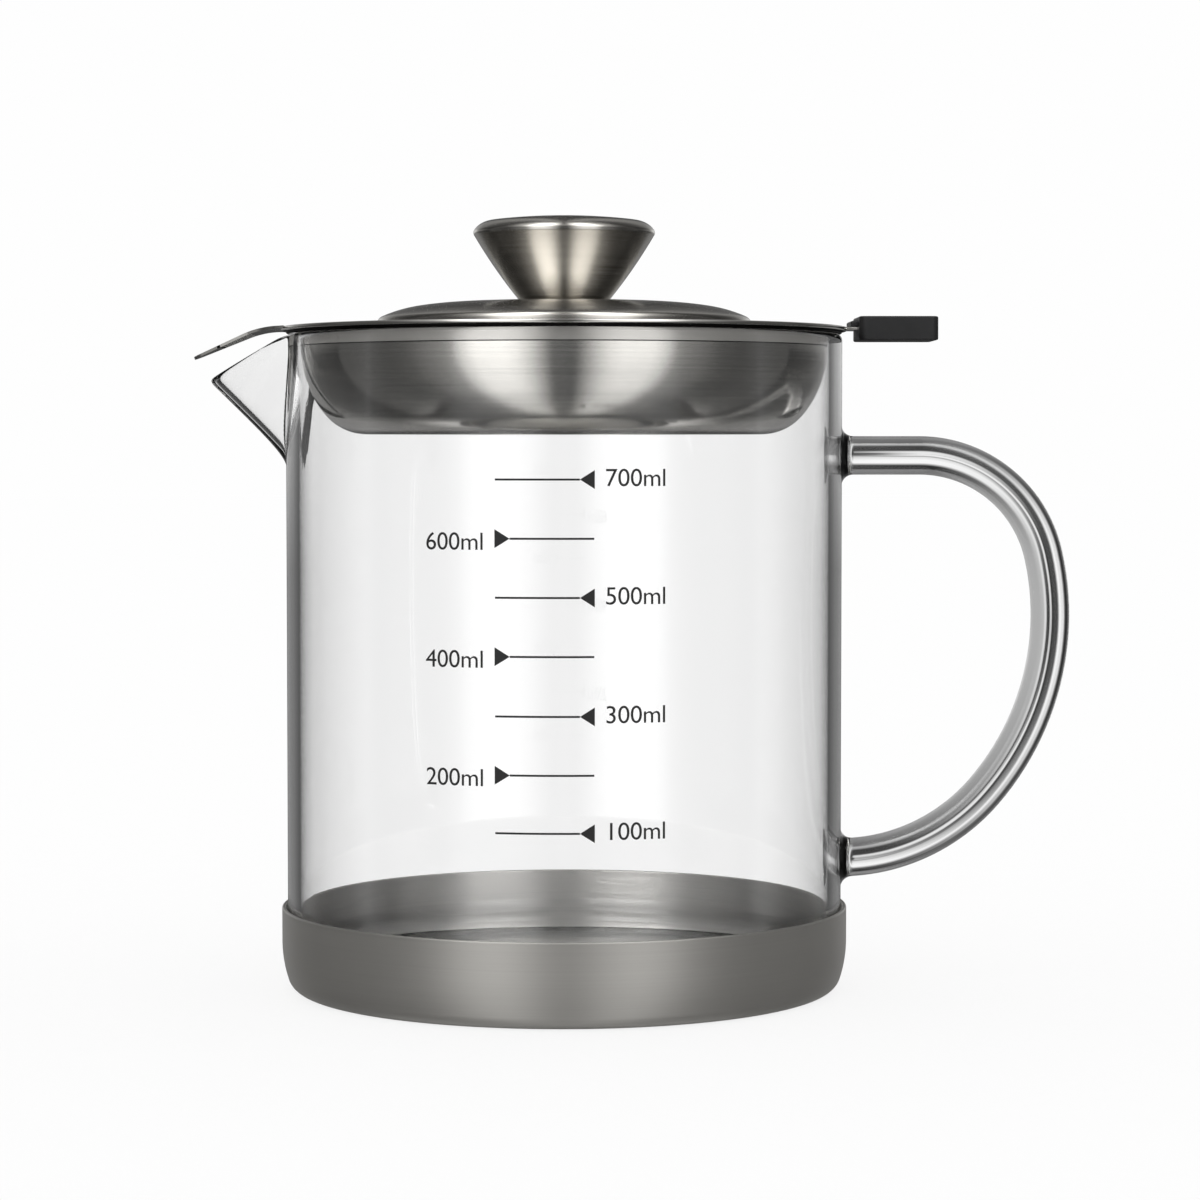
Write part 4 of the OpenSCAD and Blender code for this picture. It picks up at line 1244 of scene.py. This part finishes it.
def light_studio(scene):
    """A plain studio. Matt surfaces are lit evenly at a plain level. The camera, and what is
    seen through the jug, get white. Metal sees a tall soft box on each side of the camera and
    a darker room; the glass's edges and rod see white panels with dark flags beside them, which
    is how clear glass is given its dark outlines."""
    world = bpy.data.worlds.new("studio")
    scene.world = world
    world.use_nodes = True
    tree = world.node_tree
    tree.nodes.clear()
    at = add_node(tree, "SeparateXYZ", {0: add_node(tree, "TexCoord").outputs["Generated"]})

    def math_node(operation, first, second=0.0):
        return calc(tree, operation, first, second)

    def blend(share, first, second, kind="MIX"):
        return add_node(tree, "Mix", {"Factor": share, 6: first, 7: second},
                        data_type="RGBA", blend_type=kind).outputs[2]

    def times(first, second):
        return blend(1.0, first, second, "MULTIPLY")

    def lighter(first, second):
        return blend(1.0, first, second, "LIGHTEN")

    def choose(condition, operation, limit, yes, no):
        return blend(math_node(operation, condition, limit), no, yes)

    def degrees(low, high, *pairs):
        return [((a - low) / (high - low), level) for a, level in pairs]

    # Turn about the upright, from 0 towards the camera to 1 behind the jug, and the rise
    # from 0 straight down to 1 straight up
    turned_by = math_node("ARCTAN2", at.outputs["X"],
                          math_node("MULTIPLY", at.outputs["Y"], -1.0))
    turn_share = math_node("DIVIDE", math_node("ABSOLUTE", turned_by), math.pi)
    up = math_node("ARCSINE", at.outputs["Z"])
    rise = math_node("ADD", math_node("DIVIDE", up, math.pi), 0.5)
    drawn_in = math_node("DIVIDE", turn_share, stops(tree, rise, degrees(-90, 90, *BOX_SPREAD)))
    front = times(stops(tree, drawn_in, degrees(0, 180, *FRONT_TURN)),
                  stops(tree, rise, degrees(-90, 90, *FRONT_RISE)))
    on_right = math_node("GREATER_THAN", turned_by, 0.0)
    front = times(front, math_node("SUBTRACT", 1.0, math_node("MULTIPLY", on_right,
                                                              RIGHT_DIMMED)))
    back = times(stops(tree, turn_share, degrees(0, 180, *BACK_TURN)),
                 stops(tree, rise, degrees(-90, 90, *BACK_RISE)))
    metal = choose(turn_share, "GREATER_THAN", BACK_FROM / 180, back, front)
    metal = lighter(metal, stops(tree, rise, degrees(-90, 90, *ALL_ROUND)))
    # From below, the soft boxes' light comes back off the table, before and behind the jug
    folded = math_node("MINIMUM", turn_share, math_node("SUBTRACT", 1.0, turn_share))
    metal = lighter(metal, times(stops(tree, folded, degrees(0, 180, *FRONT_TURN)),
                                 stops(tree, rise, degrees(-90, 90, *BELOW_RISE))))
    # The wall's panel and flags come round every quarter turn, so the glass reads from all sides
    quarter = math_node("ABSOLUTE", math_node("SINE", math_node("MULTIPLY", turned_by, 2.0)))
    side = math_node("DIVIDE", math_node("ARCSINE", quarter), RIGHT_ANGLE)
    wall = times(stops(tree, side, degrees(0, 45, *WALL_TURN)),
                 stops(tree, rise, degrees(-90, 90, *WALL_RISE)))
    # The rod's light is set round a middle behind the jug, and the same in front of it
    aside = math_node("SUBTRACT", math_node("ARCTAN2", at.outputs["X"], math_node(
        "ABSOLUTE", at.outputs["Y"])), math.radians(ROD_MIDDLE[0]))
    above = math_node("SUBTRACT", up, math.radians(ROD_MIDDLE[1]))
    square = math_node("MULTIPLY", above, above)
    total = math_node("ADD", math_node("MULTIPLY", aside, aside), square)
    away = math_node("DIVIDE", math_node("SQRT", total), RIGHT_ANGLE)
    rod_sides = [stops(tree, away, degrees(0, 90, *table))
                 for table in (ROD_LEFT, ROD_RIGHT, ROD_DOWN, ROD_UP)]
    level = choose(aside, "GREATER_THAN", 0.0, rod_sides[1], rod_sides[0])
    upright = choose(above, "GREATER_THAN", 0.0, rod_sides[3], rod_sides[2])
    rod = blend(math_node("DIVIDE", square, math_node("MAXIMUM", total, 1e-6)), level, upright)
    white, plain = grey(WHITE), grey(PLAIN)
    ray = add_node(tree, "LightPath").outputs
    metal = choose(ray["Transmission Depth"], "GREATER_THAN", 5.5,
                   times(metal, grey(INSIDE_LIFT)), metal)
    seen = choose(ray["Glossy Depth"], "GREATER_THAN", 0.5, metal, white)
    # The drawn glass is a trace less than sharp, which tells its rays from the straight wall's
    drawn = choose(ray["Is Singular Ray"], "LESS_THAN", 0.5, rod, white)
    edges = choose(ray["Glossy Depth"], "GREATER_THAN", 0.5, wall, drawn)
    seen = choose(ray["Transmission Depth"], "COMPARE", 2.0, edges, seen)
    seen = choose(ray["Diffuse Depth"], "GREATER_THAN", 0.5, plain, seen)
    light = add_node(tree, "Background", {"Color": seen, "Strength": 1.0})
    add_node(tree, "OutputWorld", {"Surface": light.outputs[0]})
    world.cycles.sampling_method = "NONE"


GROUPS = {
    "jug_glass": GlassSizes, "jug_cup": CupSizes, "jug_strainer": StrainerSizes,
    "jug_grip": GripSizes, "jug_lid": LidSizes, "jug_scale": ScaleSizes,
    "jug_finish": Finishes,
}
OPERATORS = [JUG_OT_cup, JUG_OT_glass, JUG_OT_scale, JUG_OT_strainer, JUG_OT_net, JUG_OT_grip,
             JUG_OT_lid, JUG_OT_stage]


class JUG_PT_panel(bpy.types.Panel):
    """The jug's pieces, in the order in which they are made"""
    bl_idname = "JUG_PT_panel"
    bl_label = "Oil strainer jug"
    bl_space_type = "VIEW_3D"
    bl_region_type = "UI"
    bl_category = "Jug"

    def draw(self, context):
        for operator in OPERATORS:
            self.layout.operator(operator.bl_idname)
        for key, group in GROUPS.items():
            box = self.layout.box()
            for name in group.__annotations__:
                box.prop(getattr(context.scene, key), name)


def register():
    for group in GROUPS.values():
        bpy.utils.register_class(group)
    for key, group in GROUPS.items():
        setattr(bpy.types.Scene, key, PointerProperty(type=group))
    for operator in OPERATORS:
        bpy.utils.register_class(operator)
    bpy.utils.register_class(JUG_PT_panel)


def unregister():
    bpy.utils.unregister_class(JUG_PT_panel)
    for operator in reversed(OPERATORS):
        bpy.utils.unregister_class(operator)
    for key, group in GROUPS.items():
        delattr(bpy.types.Scene, key)
        bpy.utils.unregister_class(group)


def main():
    register()
    for operator in OPERATORS:
        family, step = operator.bl_idname.split(".")
        getattr(getattr(bpy.ops, family), step)()


if __name__ == "__main__":
    main()
